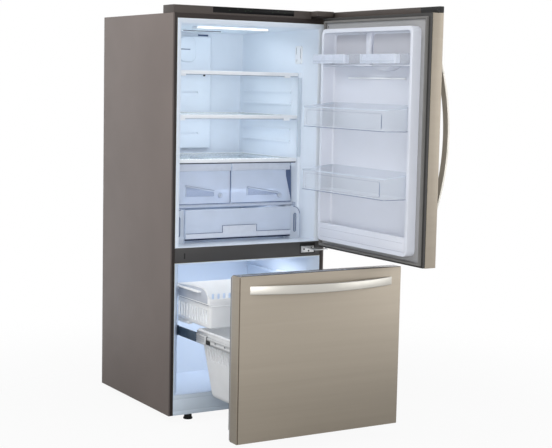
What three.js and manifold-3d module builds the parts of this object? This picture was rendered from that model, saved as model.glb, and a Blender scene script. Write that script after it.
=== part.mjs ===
// A bottom freezer refrigerator: one hinged door above, one pull-out freezer drawer below.
// Millimetres, +Z up, floor at Z = 0. Inside each builder X runs across the cabinet from its left side,
// Y = 0 is the front of the cabinet's face frame and +Y runs back into the cabinet.
// The rest pose is door open at a right angle, freezer drawer out.
import * as THREE from 'three';
import { mergeVertices } from 'three/addons/utils/BufferGeometryUtils.js';
import Module from 'manifold-3d';

const wasm = await Module();
wasm.setup();

// ---------------------------------------------------------------- driving dimensions
const fit = 0.3; // gap between pieces that are seated on each other
const slack = 1.5; // running gap beside sliding pieces

// cabinet
const cabinetWidth = 756;
const cabinetDepth = 694;
const cabinetTop = 1709;
const cabinetBottom = 30;
const sheet = 1.2; // painted steel sheet
const faceThickness = 1.5;
const faceBar = 20; // visible width of the face frame's bars
const backThickness = 2;
const baseThickness = 2;
const mullionBottom = 676.6;
const mullionHeight = 63.8;
const mullionDepth = 45;
const sillTop = 115;
const linerWall = 3;
const centre = cabinetWidth / 2;
const mullionTop = mullionBottom + mullionHeight;

// fresh food compartment, half widths of the liner's inside measured from the cabinet's centre line
const lipFlare = 20.7; // how much the liner narrows behind its front lip
const lipDepth = 14;
const frontBandDepth = 132; // flat band of side wall in front of the shelf area
const frontBandTaper = 6;
const shelfStep = 11; // side wall step behind the front band, below the upper shelf
const stepDepth = 3;
const wallDraft = 20; // side wall draft from the step to the rear wall
const rearInsulation = 59; // from the liner's rear wall to the cabinet's rear
const rearWall = cabinetDepth - rearInsulation;
const ceilingDrop = 17; // from the front lip to the ceiling behind it
const ceilingSlope = 12;
const ribHeight = 8;
const ribReach = 8;
const ribFront = 200;
const upperRibDrop = 11; // spare shelf ribs under an even spread, between the shelves
const lowerRibRise = 10; // and over it, under the lower shelf
const shelfZoneRise = 1; // the wall's step ends this much above the upper shelf

// shelves and drawers
const shelfFront = 142;
const shelfRearGap = 35; // shelves to the rear wall
const shelfRear = rearWall - shelfRearGap;
const shelfThickness = 16;
const upperShelfDrop = 231; // below the cabinet's top
const upperShelfTop = cabinetTop - upperShelfDrop;
const crisperCoverTop = 1100;
const lowerShelfTop = (upperShelfTop + crisperCoverTop) / 2 + 1;
const glassThickness = 4;
const shelfTrim = 14;
const shelfSideGap = 2;
const drawerFaceY = 172;
const drawerFaceThickness = 5;
const drawerRearGap = 95; // drawers to the rear wall
const drawerRear = rearWall - drawerRearGap;
const pantryDeckTop = 902;
const pantryDeckThickness = 4;
const deckLipHeight = 13;
const deckLipThickness = 3;
const deckFront = drawerFaceY - 4;
const legThickness = 3;
const legRearGap = 75;
const legRear = rearWall - legRearGap;
const crisperSlant = 20; // the crisper fronts draw in by this much towards their tops
const crisperBrow = 30;
const crisperTubDrop = 18;
const tubWall = 2.5;
const pantryBracketWidth = 51;
const pantryFaceY = 95;
const pantryFaceThickness = 12;
const pantryHandleWidth = 176;
const pantryHandleHeight = 30;
const pantryHandleDrop = 23; // pantry handle's lower edge above the drawer's floor
const pantryLift = 18; // the drawer's floor over the compartment's floor, on two skids
const pantrySkidWidth = 12;
const pantrySkidFront = 130;
const pantryHandleRelief = 3;
const pantryBracketY = 104; // the rounded brackets beside the pantry drawer
const pantryBracketTop = 888;
const pantryBracketCorner = 34;
const pantryBracketSlot = [10, 80];

// freezer compartment
const freezerNarrowing = 32; // side wall behind the front lip
const freezerLipDepth = 40;
const freezerFloor = 118;
const freezerStepRun = 50;
const freezerShelfTop = 345;
const freezerCeiling = 668;
const runnerWidth = 18;
const runnerHeight = 11;
const runnerTop = 571.5;

// machine compartment
const machineDepth = 244;
const machineFront = cabinetDepth - machineDepth;
const freezerStepAhead = 70; // the freezer's floor rises over the machine compartment, starting here in front
const freezerStepY = machineFront - freezerStepAhead;
const machineTop = 300;
const compressorRadius = 84;
const compressorHeight = 165;
const compressorWall = 3;
const compressorFromRight = 190;
const fillTubeRadius = 10;
const fillTubeRise = 26;
const trayLeft = 60;
const trayWidth = 250;
const trayHeight = 26;
const trayFrontGap = 25;
const trayRearGap = 30;
const condenserInset = 15; // condenser's ends inside the tray
const condenserTop = 190;
const condenserRows = 12;
const fanX = 350;
const fanRise = 110;
const fanFrame = 16;
const fanMotorRadius = 18;
const fanPlateFront = 14;
const fanPlateRear = 30;
const shroudClearance = 4;
const fanRadius = 62;
const fanBlades = 5;

// refrigerator door
const gasketGap = 12; // door's inner face to the face frame when shut
const doorThickness = 64.3;
const doorBottom = 720.6;
const doorAboveCabinet = 5;
const doorTop = cabinetTop + doorAboveCabinet;
const doorBrow = 26; // front of the door stands this much above its top
const browThickness = 24;
const hingeInset = 15; // hinge axis from the cabinet's right side
const hingeForward = 42; // hinge axis in front of the face frame
const doorRestAngle = 90; // degrees open
const skinEdgeRadius = 6;
const linerPlate = 10; // thickness of a door's inner edge frame
const dykeLeft = 58;
const dykeRightInset = 50;
const dykeRight = cabinetWidth - dykeRightInset;
const dykeWall = 16;
const dykeHeight = 40;
const dykeTopInset = 50;
const dykeTop = doorTop - dykeTopInset;
const dykeBottom = 760;
const doorRecess = 20;
const binLeft = 88;
const binRightInset = 68;
const binRight = cabinetWidth - binRightInset;
const binFront = 124;
const binWall = 2.5;
const smallBinDrop = 197; // below the door's top
const smallBinBottom = doorTop - smallBinDrop;
const lowerBinBottom = 984;
const middleBinBottom = (smallBinBottom + lowerBinBottom) / 2 + 1;
const binRearHeight = 104;
const binFrontHeight = 86;
const smallBinWidth = 240;
const smallBinFront = 84;
const smallBinHeight = 42;
const smallBinFrontHeight = 38;
const retainerHeight = 60; // front wall of the trough along the door's base
const retainerThickness = 6;
const ledgeThickness = 6;
const ledgeDrop = 3; // ledge under the small bins
const gasketWidth = 16;
const pinRadius = 5;
const pinLength = 22;
const hingePlate = 4;
const hingeEyeRadius = 9.5;
const hingePadInset = 12;
const middleHingeWidth = 65;
const middleHingeFromPin = 38;
const middleHingeArm = 60;
const middleHingeRise = 17; // foot of the hinge above the rail's lower edge
const middleHingeThickness = 2.7;

// handles: one bowed strap, used upright on the door and level on the drawer
const handleLength = 660;
const handleWidth = 34;
const handleBow = 62; // outer face of the strap above the panel at its middle
const handleStrap = 9;
const handleFoot = 26;
const doorHandleCentreZ = 1236;
const doorHandleInset = 20;
const drawerHandleTop = 664;

// freezer drawer
const drawerTop = 701;
const drawerBottom = 52.4;
const drawerThickness = 65;
const drawerRestTravel = 506;
const slideRatio = 0.5;
const basketRatio = 0.47;
const railHeight = 42;
const railBottom = 365;
const railLength = 380;
const railDepth = 10;
const railGauge = 1.5;
const bracketGauge = 3;
const bracketTop = 415;
const bracketReach = freezerStepY + 6;
const bracketShelf = 8;
const bracketTongue = 5;
const bracketTongueInset = 7;
const bracketTongueStart = 14;
const bracketFootWidth = 30;
const bracketFootDrop = 60; // foot of the bracket below the rail
const bracketFootRise = 30;
const slotBand = [118, 57]; // the lower basket's slots below its rim
const drawerLinerRise = 18;
const lowerBasketWall = 3;
const lowerBasketBottom = 132;
const lowerBasketDraw = { side: 46, front: 8, rear: 27 }; // the walls draw in by this much towards the floor
const lowerBasketOverhang = 5; // behind the brackets
const basketRimHeight = 4;
const basketCorner = 26;
const upperBasketCrest = 594; // the sides are highest near the front
const upperBasketRearTop = 578;
const upperBasketBottom = 430;
const upperBasketFront = 36;
const upperBasketDepth = 300;
const upperBasketRearGap = 115; // the rims run on behind the basket as guide arms, to this much from the rear wall
const upperBasketRear = rearWall - upperBasketRearGap;
const upperBasketBand = 66; // height of the band around its top
const upperBasketBandStep = 8; // the walls draw in by this much below the band
const upperBasketDip = 60; // the front's top edge lies this much below the crest
const upperBasketCrestEnd = 140; // where the sides begin to fall towards the rear
const upperBasketRim = 6.2;
const upperBasketSideSlots = { count: 11, clearOfFloor: 17, clearOfBand: 22, clearOfFront: 24, clearOfRear: 10 };
const upperBasketRearSlots = { count: 20, height: 28, clearOfBand: 8, clearOfSide: 30 };
const upperBasketSlotWidth = 12;

// light, cold air parts
const lightWidth = 356;
const lightDepth = 46;
const lightY = 175;
const lightThickness = 9;
const ductWidth = 256;
const ductDepth = 23;
const ductTopDrop = 70;
const ductVentWidth = 120;
const coilCoverDepth = 62;
const coilWidth = 460;
const coilCoverGap = 16;
const coilRise = 40;
const coilDrop = 70;
const coilRows = 18;

// feet, rollers, covers
const footRadius = 24;
const footX = 112;
const footY = 40;
const studRadius = 5;
const rollerRadius = 14;
const rollerWidth = 18;
const rollerX = 70;
const rollerFromRear = 54;
const rollerY = cabinetDepth - rollerFromRear;
const axleRadius = 3;
const coverHeight = 33;
const coverDepth = 95;
const coverWall = 2;
const hingeCoverWidth = 94;
const glandFromRight = 92; // cord gland in the machine cover
const glandHeight = 150;
const glandRadius = 10;
const glandBore = 4;
const glandDepth = 8;
const coverSplit = cabinetWidth - hingeCoverWidth; // control cover to the left, hinge cover to the right
const displayWidth = 395;
const displayShift = 1.5; // to the right of the cabinet's middle
const displayHeight = 24;
const displayDrop = 1; // below the cover's top
const displayDepth = 2;
const displayProud = 0.5; // air in front of the strip
const displayLeft = centre + displayShift - displayWidth / 2;
const displayRight = displayLeft + displayWidth;

// ---------------------------------------------------------------- materials
function finish(color, roughness, metalness = 0, opacity = 1) {
  return new THREE.MeshStandardMaterial({
    color, roughness, metalness, opacity, transparent: opacity < 1, flatShading: true,
  });
}
const paintedSteel = finish(0x857c76, 0.45, 0.3);
const darkFrame = finish(0x3a3330, 0.5, 0.2);
const stainless = finish(0xb3a99a, 0.35, 0.85);
const handleMetal = finish(0xc4bdb2, 0.28, 0.9);
const galvanised = finish(0xa9adb0, 0.4, 0.8);
const whiteLiner = finish(0xe9eef2, 0.4);
const whiteTrim = finish(0xf2f4f5, 0.35);
const clearPlastic = finish(0xdfe9f2, 0.12, 0, 0.4);
const shelfGlass = finish(0xd9e8ea, 0.05, 0, 0.4);
const greyPlastic = finish(0x55524f, 0.5);
const blackGloss = finish(0x101112, 0.15);
const blackPlastic = finish(0x1b1b1c, 0.55);
const rubber = finish(0x8d8d8a, 0.7);
const foam = finish(0xe6d9a8, 0.9);
const lightLens = finish(0xffffff, 0.2);
const compressorBlack = finish(0x18191a, 0.35, 0.3);
const finMetal = finish(0xc7ccd0, 0.4, 0.8);
const slideGrey = finish(0x9c9a92, 0.35, 0.75);

// ---------------------------------------------------------------- geometry helpers
function toSolid(geometry) {
  const bare = geometry.clone();
  bare.deleteAttribute('normal');
  bare.deleteAttribute('uv');
  const welded = mergeVertices(bare, 1e-4);
  return new wasm.Manifold(new wasm.Mesh({
    numProp: 3,
    vertProperties: Float32Array.from(welded.attributes.position.array),
    triVerts: Uint32Array.from(welded.index.array),
  }));
}

function toGeometry(solid) {
  const mesh = solid.getMesh();
  const geometry = new THREE.BufferGeometry();
  geometry.setAttribute('position', new THREE.BufferAttribute(mesh.vertProperties, 3));
  geometry.setIndex(new THREE.BufferAttribute(mesh.triVerts, 1));
  geometry.computeVertexNormals();
  return geometry;
}

function join(...geometries) {
  return toGeometry(geometries.map(toSolid).reduce((whole, next) => whole.add(next)));
}

function cut(geometry, ...tools) {
  return toGeometry(tools.map(toSolid).reduce((whole, tool) => whole.subtract(tool), toSolid(geometry)));
}

function common(a, b) {
  return toGeometry(toSolid(a).intersect(toSolid(b)));
}

function piece(name, geometry, material) {
  const mesh = new THREE.Mesh(geometry, material);
  mesh.name = name;
  return mesh;
}

function group(...children) {
  const result = new THREE.Group();
  result.add(...children);
  return result;
}

function box([x0, x1], [y0, y1], [z0, z1]) {
  const geometry = new THREE.BoxGeometry(x1 - x0, y1 - y0, z1 - z0);
  return geometry.translate((x0 + x1) / 2, (y0 + y1) / 2, (z0 + z1) / 2);
}

function outline(points) {
  return new THREE.Shape(points.map(([a, b]) => new THREE.Vector2(a, b)));
}

function extruded(shape, depth, curveSegments = 4) {
  return new THREE.ExtrudeGeometry(shape, { depth, bevelEnabled: false, steps: 1, curveSegments });
}

// an outline seen from above, raised from z0 to z1
function plan(shape, [z0, z1]) {
  return extruded(shape, z1 - z0).translate(0, 0, z0);
}

// an outline seen from the right side, in (y, z), running from x0 to x1
function side(shape, [x0, x1]) {
  const turn = new THREE.Matrix4().makeBasis(
    new THREE.Vector3(0, 1, 0), new THREE.Vector3(0, 0, 1), new THREE.Vector3(1, 0, 0));
  return extruded(shape, x1 - x0).applyMatrix4(turn).translate(x0, 0, 0);
}

// an outline seen from the front, in (x, z), running from y0 to y1
function front(shape, [y0, y1]) {
  const turn = new THREE.Matrix4().makeBasis(
    new THREE.Vector3(1, 0, 0), new THREE.Vector3(0, 0, 1), new THREE.Vector3(0, -1, 0));
  return extruded(shape, y1 - y0).applyMatrix4(turn).translate(0, y1, 0);
}

function roundedRectangle([x0, x1], [y0, y1], radius) {
  const shape = new THREE.Shape();
  shape.moveTo(x0 + radius, y0);
  shape.lineTo(x1 - radius, y0);
  shape.absarc(x1 - radius, y0 + radius, radius, -Math.PI / 2, 0, false);
  shape.absarc(x1 - radius, y1 - radius, radius, 0, Math.PI / 2, false);
  shape.absarc(x0 + radius, y1 - radius, radius, Math.PI / 2, Math.PI, false);
  shape.absarc(x0 + radius, y0 + radius, radius, Math.PI, Math.PI * 1.5, false);
  return shape;
}

function withHole(shape, hole) {
  shape.holes.push(new THREE.Path(hole.getPoints(4)));
  return shape;
}

function rod(radius, [a0, a1], axis, [x, y, z], segments = 20) {
  const geometry = new THREE.CylinderGeometry(radius, radius, a1 - a0, segments);
  const middle = (a0 + a1) / 2;
  if (axis === 'x') return geometry.rotateZ(Math.PI / 2).translate(x + middle, y, z);
  if (axis === 'z') return geometry.rotateX(Math.PI / 2).translate(x, y, z + middle);
  return geometry.translate(x, y + middle, z);
}

function turned(profile, [x, y, z], segments = 28) {
  const points = profile.map(([radius, height]) => new THREE.Vector2(radius, height));
  return new THREE.LatheGeometry(points, segments).rotateX(Math.PI / 2).translate(x, y, z);
}

// a block whose plan is `low` at its underside and `high` at its top
function tapered(low, high, [z0, z1], radius) {
  const geometry = plan(roundedRectangle(low[0], low[1], radius), [z0, z1]);
  const position = geometry.attributes.position;
  const rescale = (value, from, to) => to[0] + ((value - from[0]) / (from[1] - from[0])) * (to[1] - to[0]);
  for (let i = 0; i < position.count; i++) {
    if (position.getZ(i) > (z0 + z1) / 2) {
      position.setX(i, rescale(position.getX(i), low[0], high[0]));
      position.setY(i, rescale(position.getY(i), low[1], high[1]));
    }
  }
  return geometry;
}

function inset([a, b], amount) {
  return [a + amount, b - amount];
}

// the other-handed copy of an indexed geometry, across the plane x = 0
function flippedX(geometry) {
  const flipped = geometry.clone().applyMatrix4(new THREE.Matrix4().makeScale(-1, 1, 1));
  const index = flipped.index.array;
  for (let i = 0; i < index.length; i += 3) [index[i + 1], index[i + 2]] = [index[i + 2], index[i + 1]];
  return flipped;
}

// the other-handed copy on the other side of the cabinet
function mirrored(geometry) {
  return flippedX(geometry).translate(cabinetWidth, 0, 0);
}

// ---------------------------------------------------------------- compartment shapes
const lipHalfWidth = centre - faceBar - fit - linerWall;
const fridgeWallPoints = [
  [lipHalfWidth, 0],
  [lipHalfWidth - lipFlare, lipDepth],
  [lipHalfWidth - lipFlare - frontBandTaper, frontBandDepth],
  [lipHalfWidth - lipFlare - frontBandTaper - shelfStep, frontBandDepth + stepDepth],
  [lipHalfWidth - lipFlare - frontBandTaper - shelfStep - wallDraft, rearWall],
];
const fridgeUpperWallPoints = [
  ...fridgeWallPoints.slice(0, 3),
  [lipHalfWidth - lipFlare - frontBandTaper - wallDraft, rearWall],
];
const freezerWallPoints = [
  [lipHalfWidth, 0],
  [lipHalfWidth - freezerNarrowing, freezerLipDepth],
  [lipHalfWidth - freezerNarrowing, rearWall],
];
const freezerHalfWidth = lipHalfWidth - freezerNarrowing;

function wallAt(y) {
  const after = fridgeWallPoints.findIndex((point) => point[1] >= y);
  const [w0, y0] = fridgeWallPoints[after - 1];
  const [w1, y1] = fridgeWallPoints[after];
  return w0 + ((y - y0) / (y1 - y0)) * (w1 - w0);
}

// plan outline of a compartment, grown outwards by `grow` and running straight forward to y = -`mouth`
function compartmentPlan(wallPoints, grow, mouth) {
  const walls = wallPoints.map(([half, y], i) => [centre + half + grow, i === 0 ? 0 : y + grow]);
  const right = mouth > 0 ? [[walls[0][0], -mouth], ...walls] : walls;
  const left = right.map(([x, y]) => [2 * centre - x, y]).reverse();
  return outline([...right, ...left]);
}

function section(points, mouth) {
  const [first, last] = [points[0], points[points.length - 1]];
  return outline(mouth > 0 ? [[-mouth, first[1]], ...points, [-mouth, last[1]]] : points);
}

function fridgeSection(grow, mouth) {
  const lip = cabinetTop - faceBar - fit - linerWall;
  const ceiling = lip - ceilingDrop;
  return section([
    [0, mullionTop + fit + linerWall - grow],
    [rearWall + grow, mullionTop + fit + linerWall - grow],
    [rearWall + grow, ceiling - ceilingSlope + grow],
    [lipDepth, ceiling + grow],
    [0, lip + grow],
  ], mouth);
}

function freezerSection(grow, mouth) {
  const lip = mullionBottom - fit - linerWall;
  return section([
    [0, freezerFloor - grow],
    [freezerStepY + grow / 2, freezerFloor - grow],
    [freezerStepY + freezerStepRun + grow / 2, freezerShelfTop - grow],
    [rearWall + grow, freezerShelfTop - grow],
    [rearWall + grow, freezerCeiling + grow],
    [lipDepth, freezerCeiling + grow],
    [0, lip + grow],
  ], mouth);
}

function freezerCompartment(grow, mouth = 0) {
  return common(
    plan(compartmentPlan(freezerWallPoints, grow, mouth), [0, cabinetTop]),
    side(freezerSection(grow, mouth), [0, cabinetWidth]));
}

// the side walls step inwards behind their front band, up to just above the upper shelf
function fridgeCompartment(grow, mouth = 0) {
  const zoneTop = upperShelfTop + shelfZoneRise - grow;
  return common(
    join(
      plan(compartmentPlan(fridgeWallPoints, grow, mouth), [0, zoneTop + linerWall]),
      plan(compartmentPlan(fridgeUpperWallPoints, grow, mouth), [zoneTop, cabinetTop])),
    side(fridgeSection(grow, mouth), [0, cabinetWidth]));
}

const pantryHalf = wallAt(shelfFront) - shelfSideGap - pantryBracketWidth - slack;

// a pair of ribs along the fresh food compartment's side walls
function shelfRibs(underside) {
  return [1, -1].map((hand) => plan(outline([
    [centre + hand * (wallAt(ribFront) + linerWall / 2), ribFront],
    [centre + hand * (wallAt(shelfRear) + linerWall / 2), shelfRear],
    [centre + hand * (wallAt(shelfRear) - ribReach), shelfRear],
    [centre + hand * (wallAt(ribFront) - ribReach), ribFront],
  ]), [underside, underside + ribHeight]));
}

// ---------------------------------------------------------------- cabinet
function cabinet() {
  const shellFront = faceThickness + fit;
  const innerWidth = [sheet, cabinetWidth - sheet];
  const outerCase = piece('outer_case', front(outline([
    [0, cabinetBottom], [sheet, cabinetBottom], [sheet, cabinetTop - sheet],
    [cabinetWidth - sheet, cabinetTop - sheet], [cabinetWidth - sheet, cabinetBottom],
    [cabinetWidth, cabinetBottom], [cabinetWidth, cabinetTop], [0, cabinetTop],
  ]), [shellFront, cabinetDepth]), paintedSteel);

  const faceFrame = piece('face_frame', front(outline([
    [0, cabinetBottom], [faceBar, cabinetBottom], [faceBar, cabinetTop - faceBar],
    [cabinetWidth - faceBar, cabinetTop - faceBar], [cabinetWidth - faceBar, cabinetBottom],
    [cabinetWidth, cabinetBottom], [cabinetWidth, cabinetTop], [0, cabinetTop],
  ]), [0, faceThickness]), darkFrame);

  const mullionRail = piece('mullion_rail',
    box(inset([faceBar, cabinetWidth - faceBar], fit), [0, mullionDepth], [mullionBottom, mullionTop]), greyPlastic);

  const sillPanel = piece('sill_panel', box(
    inset([faceBar, cabinetWidth - faceBar], fit), [0, faceThickness],
    [cabinetBottom, sillTop - fit]), whiteTrim);

  const back = [cabinetDepth + fit, cabinetDepth + fit + backThickness];
  const backPanel = piece('back_panel', box([0, cabinetWidth], back, [machineTop + fit, cabinetTop]), galvanised);

  const slotCount = 7;
  const slotPitch = 60;
  const slots = Array.from({ length: slotCount }, (_, i) => {
    const x = centre + (i - (slotCount - 1) / 2) * slotPitch;
    return [110, 190].map((z) => box([x - 20, x + 20], [back[0] - 1, back[1] + 1], [z, z + 12]));
  }).flat();
  const glandAt = [cabinetWidth - glandFromRight, 0, glandHeight];
  const machineCover = piece('machine_cover', cut(
    join(box([0, cabinetWidth], back, [cabinetBottom, machineTop]),
      rod(glandRadius, [back[0] - glandDepth, back[1]], 'y', glandAt)),
    rod(glandBore, [back[0] - glandDepth - 1, back[1] + 1], 'y', glandAt, 16), ...slots), galvanised);

  return group(outerCase, faceFrame, mullionRail, sillPanel, backPanel, machineCover,
    basePan(innerWidth), insulation(innerWidth));
}

function basePan(innerWidth) {
  const levels = [cabinetBottom, cabinetBottom + baseThickness];
  const plate = box(inset(innerWidth, fit), [faceThickness + fit, cabinetDepth], levels);
  const ears = rollerPlaces().flatMap((x) => [-1, 1].map((hand) => {
    const near = x + hand * (rollerWidth / 2 + slack);
    const far = near + hand * 3;
    return box([Math.min(near, far), Math.max(near, far)], inset([rollerY - rollerRadius, rollerY + rollerRadius], 4),
      [rollerRadius - 2 * axleRadius, cabinetBottom + baseThickness / 2]);
  }));
  const reach = rollerWidth / 2 + 8;
  const axleHoles = rollerPlaces().map((x) => rod(axleRadius + fit, [-reach, reach], 'x', [x, rollerY, rollerRadius]));
  const studHoles = footPlaces().map((x) => rod(studRadius + fit, levels.map((z, i) => z + (i ? 1 : -1)), 'z',
    [x, footY, 0]));
  return piece('base_pan', cut(join(plate, ...ears), ...axleHoles, ...studHoles), galvanised);
}

function insulation(innerWidth) {
  const block = box(inset(innerWidth, fit), [faceThickness + 2 * fit, cabinetDepth],
    [cabinetBottom + baseThickness + fit, cabinetTop - sheet - fit]);
  const mouth = 1;
  const outside = linerWall + fit;
  const mullionSpace = box([0, cabinetWidth], [-mouth, mullionDepth + fit], [mullionBottom, mullionTop]);
  const machineSpace = box([0, cabinetWidth], [machineFront, cabinetDepth + 1], [0, machineTop]);
  const studSpace = footPlaces().map((x) => rod(studRadius + 2, [0, footStudTop() + 2], 'z', [x, footY, 0]));
  return piece('insulation', cut(block, mullionSpace, machineSpace, ...studSpace,
    fridgeCompartment(outside, mouth), freezerCompartment(outside, mouth)), foam);
}

function liners() {
  const underside = (shelfTop) => shelfTop - shelfThickness - fit - ribHeight;
  const spread = (low, high, count, shift) => Array.from({ length: count },
    (_, i) => low + ((high - low) * (i + 1)) / (count + 1) + shift);
  const ribs = [
    underside(upperShelfTop), ...spread(lowerShelfTop, underside(upperShelfTop), 2, -upperRibDrop),
    underside(lowerShelfTop), ...spread(crisperCoverTop, underside(lowerShelfTop), 2, lowerRibRise),
  ].flatMap(shelfRibs);
  const fridge = cut(fridgeCompartment(linerWall), fridgeCompartment(0));
  const freezer = cut(freezerCompartment(linerWall), freezerCompartment(0));
  const runners = [1, -1].map((hand) => {
    const wall = centre + hand * (freezerHalfWidth + linerWall / 2);
    const edge = centre + hand * (freezerHalfWidth - runnerWidth);
    return box([Math.min(wall, edge), Math.max(wall, edge)], [freezerLipDepth + 20, upperBasketRear + 40],
      [runnerTop - runnerHeight, runnerTop]);
  });
  return group(
    piece('fridge_liner', join(fridge, ...ribs), whiteLiner),
    piece('freezer_liner', join(freezer, ...runners), whiteLiner));
}

// ---------------------------------------------------------------- fresh food compartment
function shelfOutline(amount) {
  const frontHalf = wallAt(shelfFront) - shelfSideGap - amount;
  const rearHalf = wallAt(shelfRear) - shelfSideGap - amount;
  const y0 = shelfFront + amount;
  const y1 = shelfRear - amount;
  return outline([[centre - frontHalf, y0], [centre + frontHalf, y0], [centre + rearHalf, y1], [centre - rearHalf, y1]]);
}

// a moulded frame with a rebate, and the glass lying in it
function shelf(top) {
  const rebate = 6;
  const seat = top - glassThickness - 2;
  const ring = plan(withHole(shelfOutline(0), shelfOutline(shelfTrim)), [top - shelfThickness, top]);
  const frame = cut(ring, plan(shelfOutline(shelfTrim - rebate), [seat, top + 1]));
  const glass = plan(shelfOutline(shelfTrim - rebate + fit), [seat + fit, seat + fit + glassThickness]);
  return { frame, glass };
}

function fridgeInterior() {
  const upper = shelf(upperShelfTop);
  const lower = shelf(lowerShelfTop);
  const cover = shelf(crisperCoverTop);

  const slotCount = 5;
  const slotHeight = 8;
  const slotMargin = 70;
  const duct = [centre - ductWidth / 2, centre + ductWidth / 2];
  const ductLevels = [crisperCoverTop + 20, cabinetTop - ductTopDrop];
  const ductY = [rearWall - ductDepth, rearWall - fit];
  const vents = Array.from({ length: slotCount }, (_, i) => {
    const z = ductLevels[0] + slotMargin + (i * (ductLevels[1] - ductLevels[0] - 2 * slotMargin)) / (slotCount - 1);
    return box([centre - ductVentWidth / 2, centre + ductVentWidth / 2], [ductY[0] - 1, ductY[0] + 6],
      [z - slotHeight / 2, z + slotHeight / 2]);
  });

  const ceilingAtLight = cabinetTop - faceBar - fit - linerWall - ceilingDrop
    - (ceilingSlope * (lightY + lightDepth - lipDepth)) / (rearWall - lipDepth);
  return group(
    piece('upper_shelf_frame', upper.frame, whiteTrim),
    piece('upper_shelf_glass', upper.glass, shelfGlass),
    piece('lower_shelf_frame', lower.frame, whiteTrim),
    piece('lower_shelf_glass', lower.glass, shelfGlass),
    piece('drawer_housing', join(cover.frame, ...drawerHousing()), whiteTrim),
    piece('crisper_cover_glass', cover.glass, shelfGlass),
    piece('air_duct_cover', cut(box(duct, ductY, ductLevels), ...vents), whiteTrim),
    piece('ceiling_light', box([centre - lightWidth / 2, centre + lightWidth / 2], [lightY, lightY + lightDepth],
      [ceilingAtLight - fit - lightThickness, ceilingAtLight - fit]), lightLens));
}

// side legs, centre divider and the deck over the pantry drawer
function drawerHousing() {
  const floorZ = mullionTop + fit + linerWall + fit;
  const underCover = crisperCoverTop - shelfThickness + 1;
  const legs = [1, -1].flatMap((hand) => {
    const leg = (y0, y1, z0, z1) => plan(outline([
      [centre + hand * (wallAt(y0) - shelfSideGap), y0],
      [centre + hand * (wallAt(y1) - shelfSideGap), y1],
      [centre + hand * (wallAt(y1) - shelfSideGap - legThickness), y1],
      [centre + hand * (wallAt(y0) - shelfSideGap - legThickness), y0],
    ]), [z0, z1]);
    return [leg(shelfFront, legRear, floorZ, pantryDeckTop), leg(drawerFaceY + 12, legRear, pantryDeckTop - 1, underCover)];
  });
  const deckHalf = [wallAt(deckFront), wallAt(legRear)].map((half) => half - shelfSideGap - legThickness / 2);
  const deck = join(
    plan(outline([
      [centre - deckHalf[0], deckFront], [centre + deckHalf[0], deckFront],
      [centre + deckHalf[1], legRear], [centre - deckHalf[1], legRear],
    ]), [pantryDeckTop - pantryDeckThickness, pantryDeckTop]),
    box([centre - deckHalf[0], centre + deckHalf[0]], [deckFront, deckFront + deckLipThickness],
      [pantryDeckTop - deckLipHeight, pantryDeckTop]));
  const divider = box([centre - legThickness / 2, centre + legThickness / 2], [drawerFaceY + 12, legRear],
    [pantryDeckTop - 1, underCover]);
  return [...legs, ...[1, -1].map((hand) => pantryBracket(hand, floorZ)), deck, divider];
}

// the slotted bracket with a rounded upper corner that fills the space beside the pantry drawer's front
function pantryBracket(hand, floorZ) {
  const near = pantryHalf + slack;
  const far = near + pantryBracketWidth;
  const corner = pantryBracketCorner;
  const shape = new THREE.Shape();
  shape.moveTo(near, floorZ);
  shape.lineTo(far, floorZ);
  shape.lineTo(far, pantryBracketTop - corner);
  shape.absarc(far - corner, pantryBracketTop - corner, corner, 0, Math.PI / 2, false);
  shape.lineTo(near, pantryBracketTop);
  const middle = (near + far) / 2;
  const slotBottom = (floorZ + pantryBracketTop - pantryBracketSlot[1]) / 2;
  const plate = cut(front(shape, [pantryBracketY, shelfFront + legThickness]),
    box([middle - pantryBracketSlot[0] / 2, middle + pantryBracketSlot[0] / 2],
      [pantryBracketY - 1, shelfFront + legThickness + 1], [slotBottom, slotBottom + pantryBracketSlot[1]]));
  return (hand > 0 ? plate : flippedX(plate)).translate(centre, 0, 0);
}

function openTub(widths, depths, [z0, z1], wall) {
  return cut(box(widths, depths, [z0, z1]),
    box(inset(widths, wall), inset(depths, wall), [z0 + wall, z1 + 1]));
}

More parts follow.
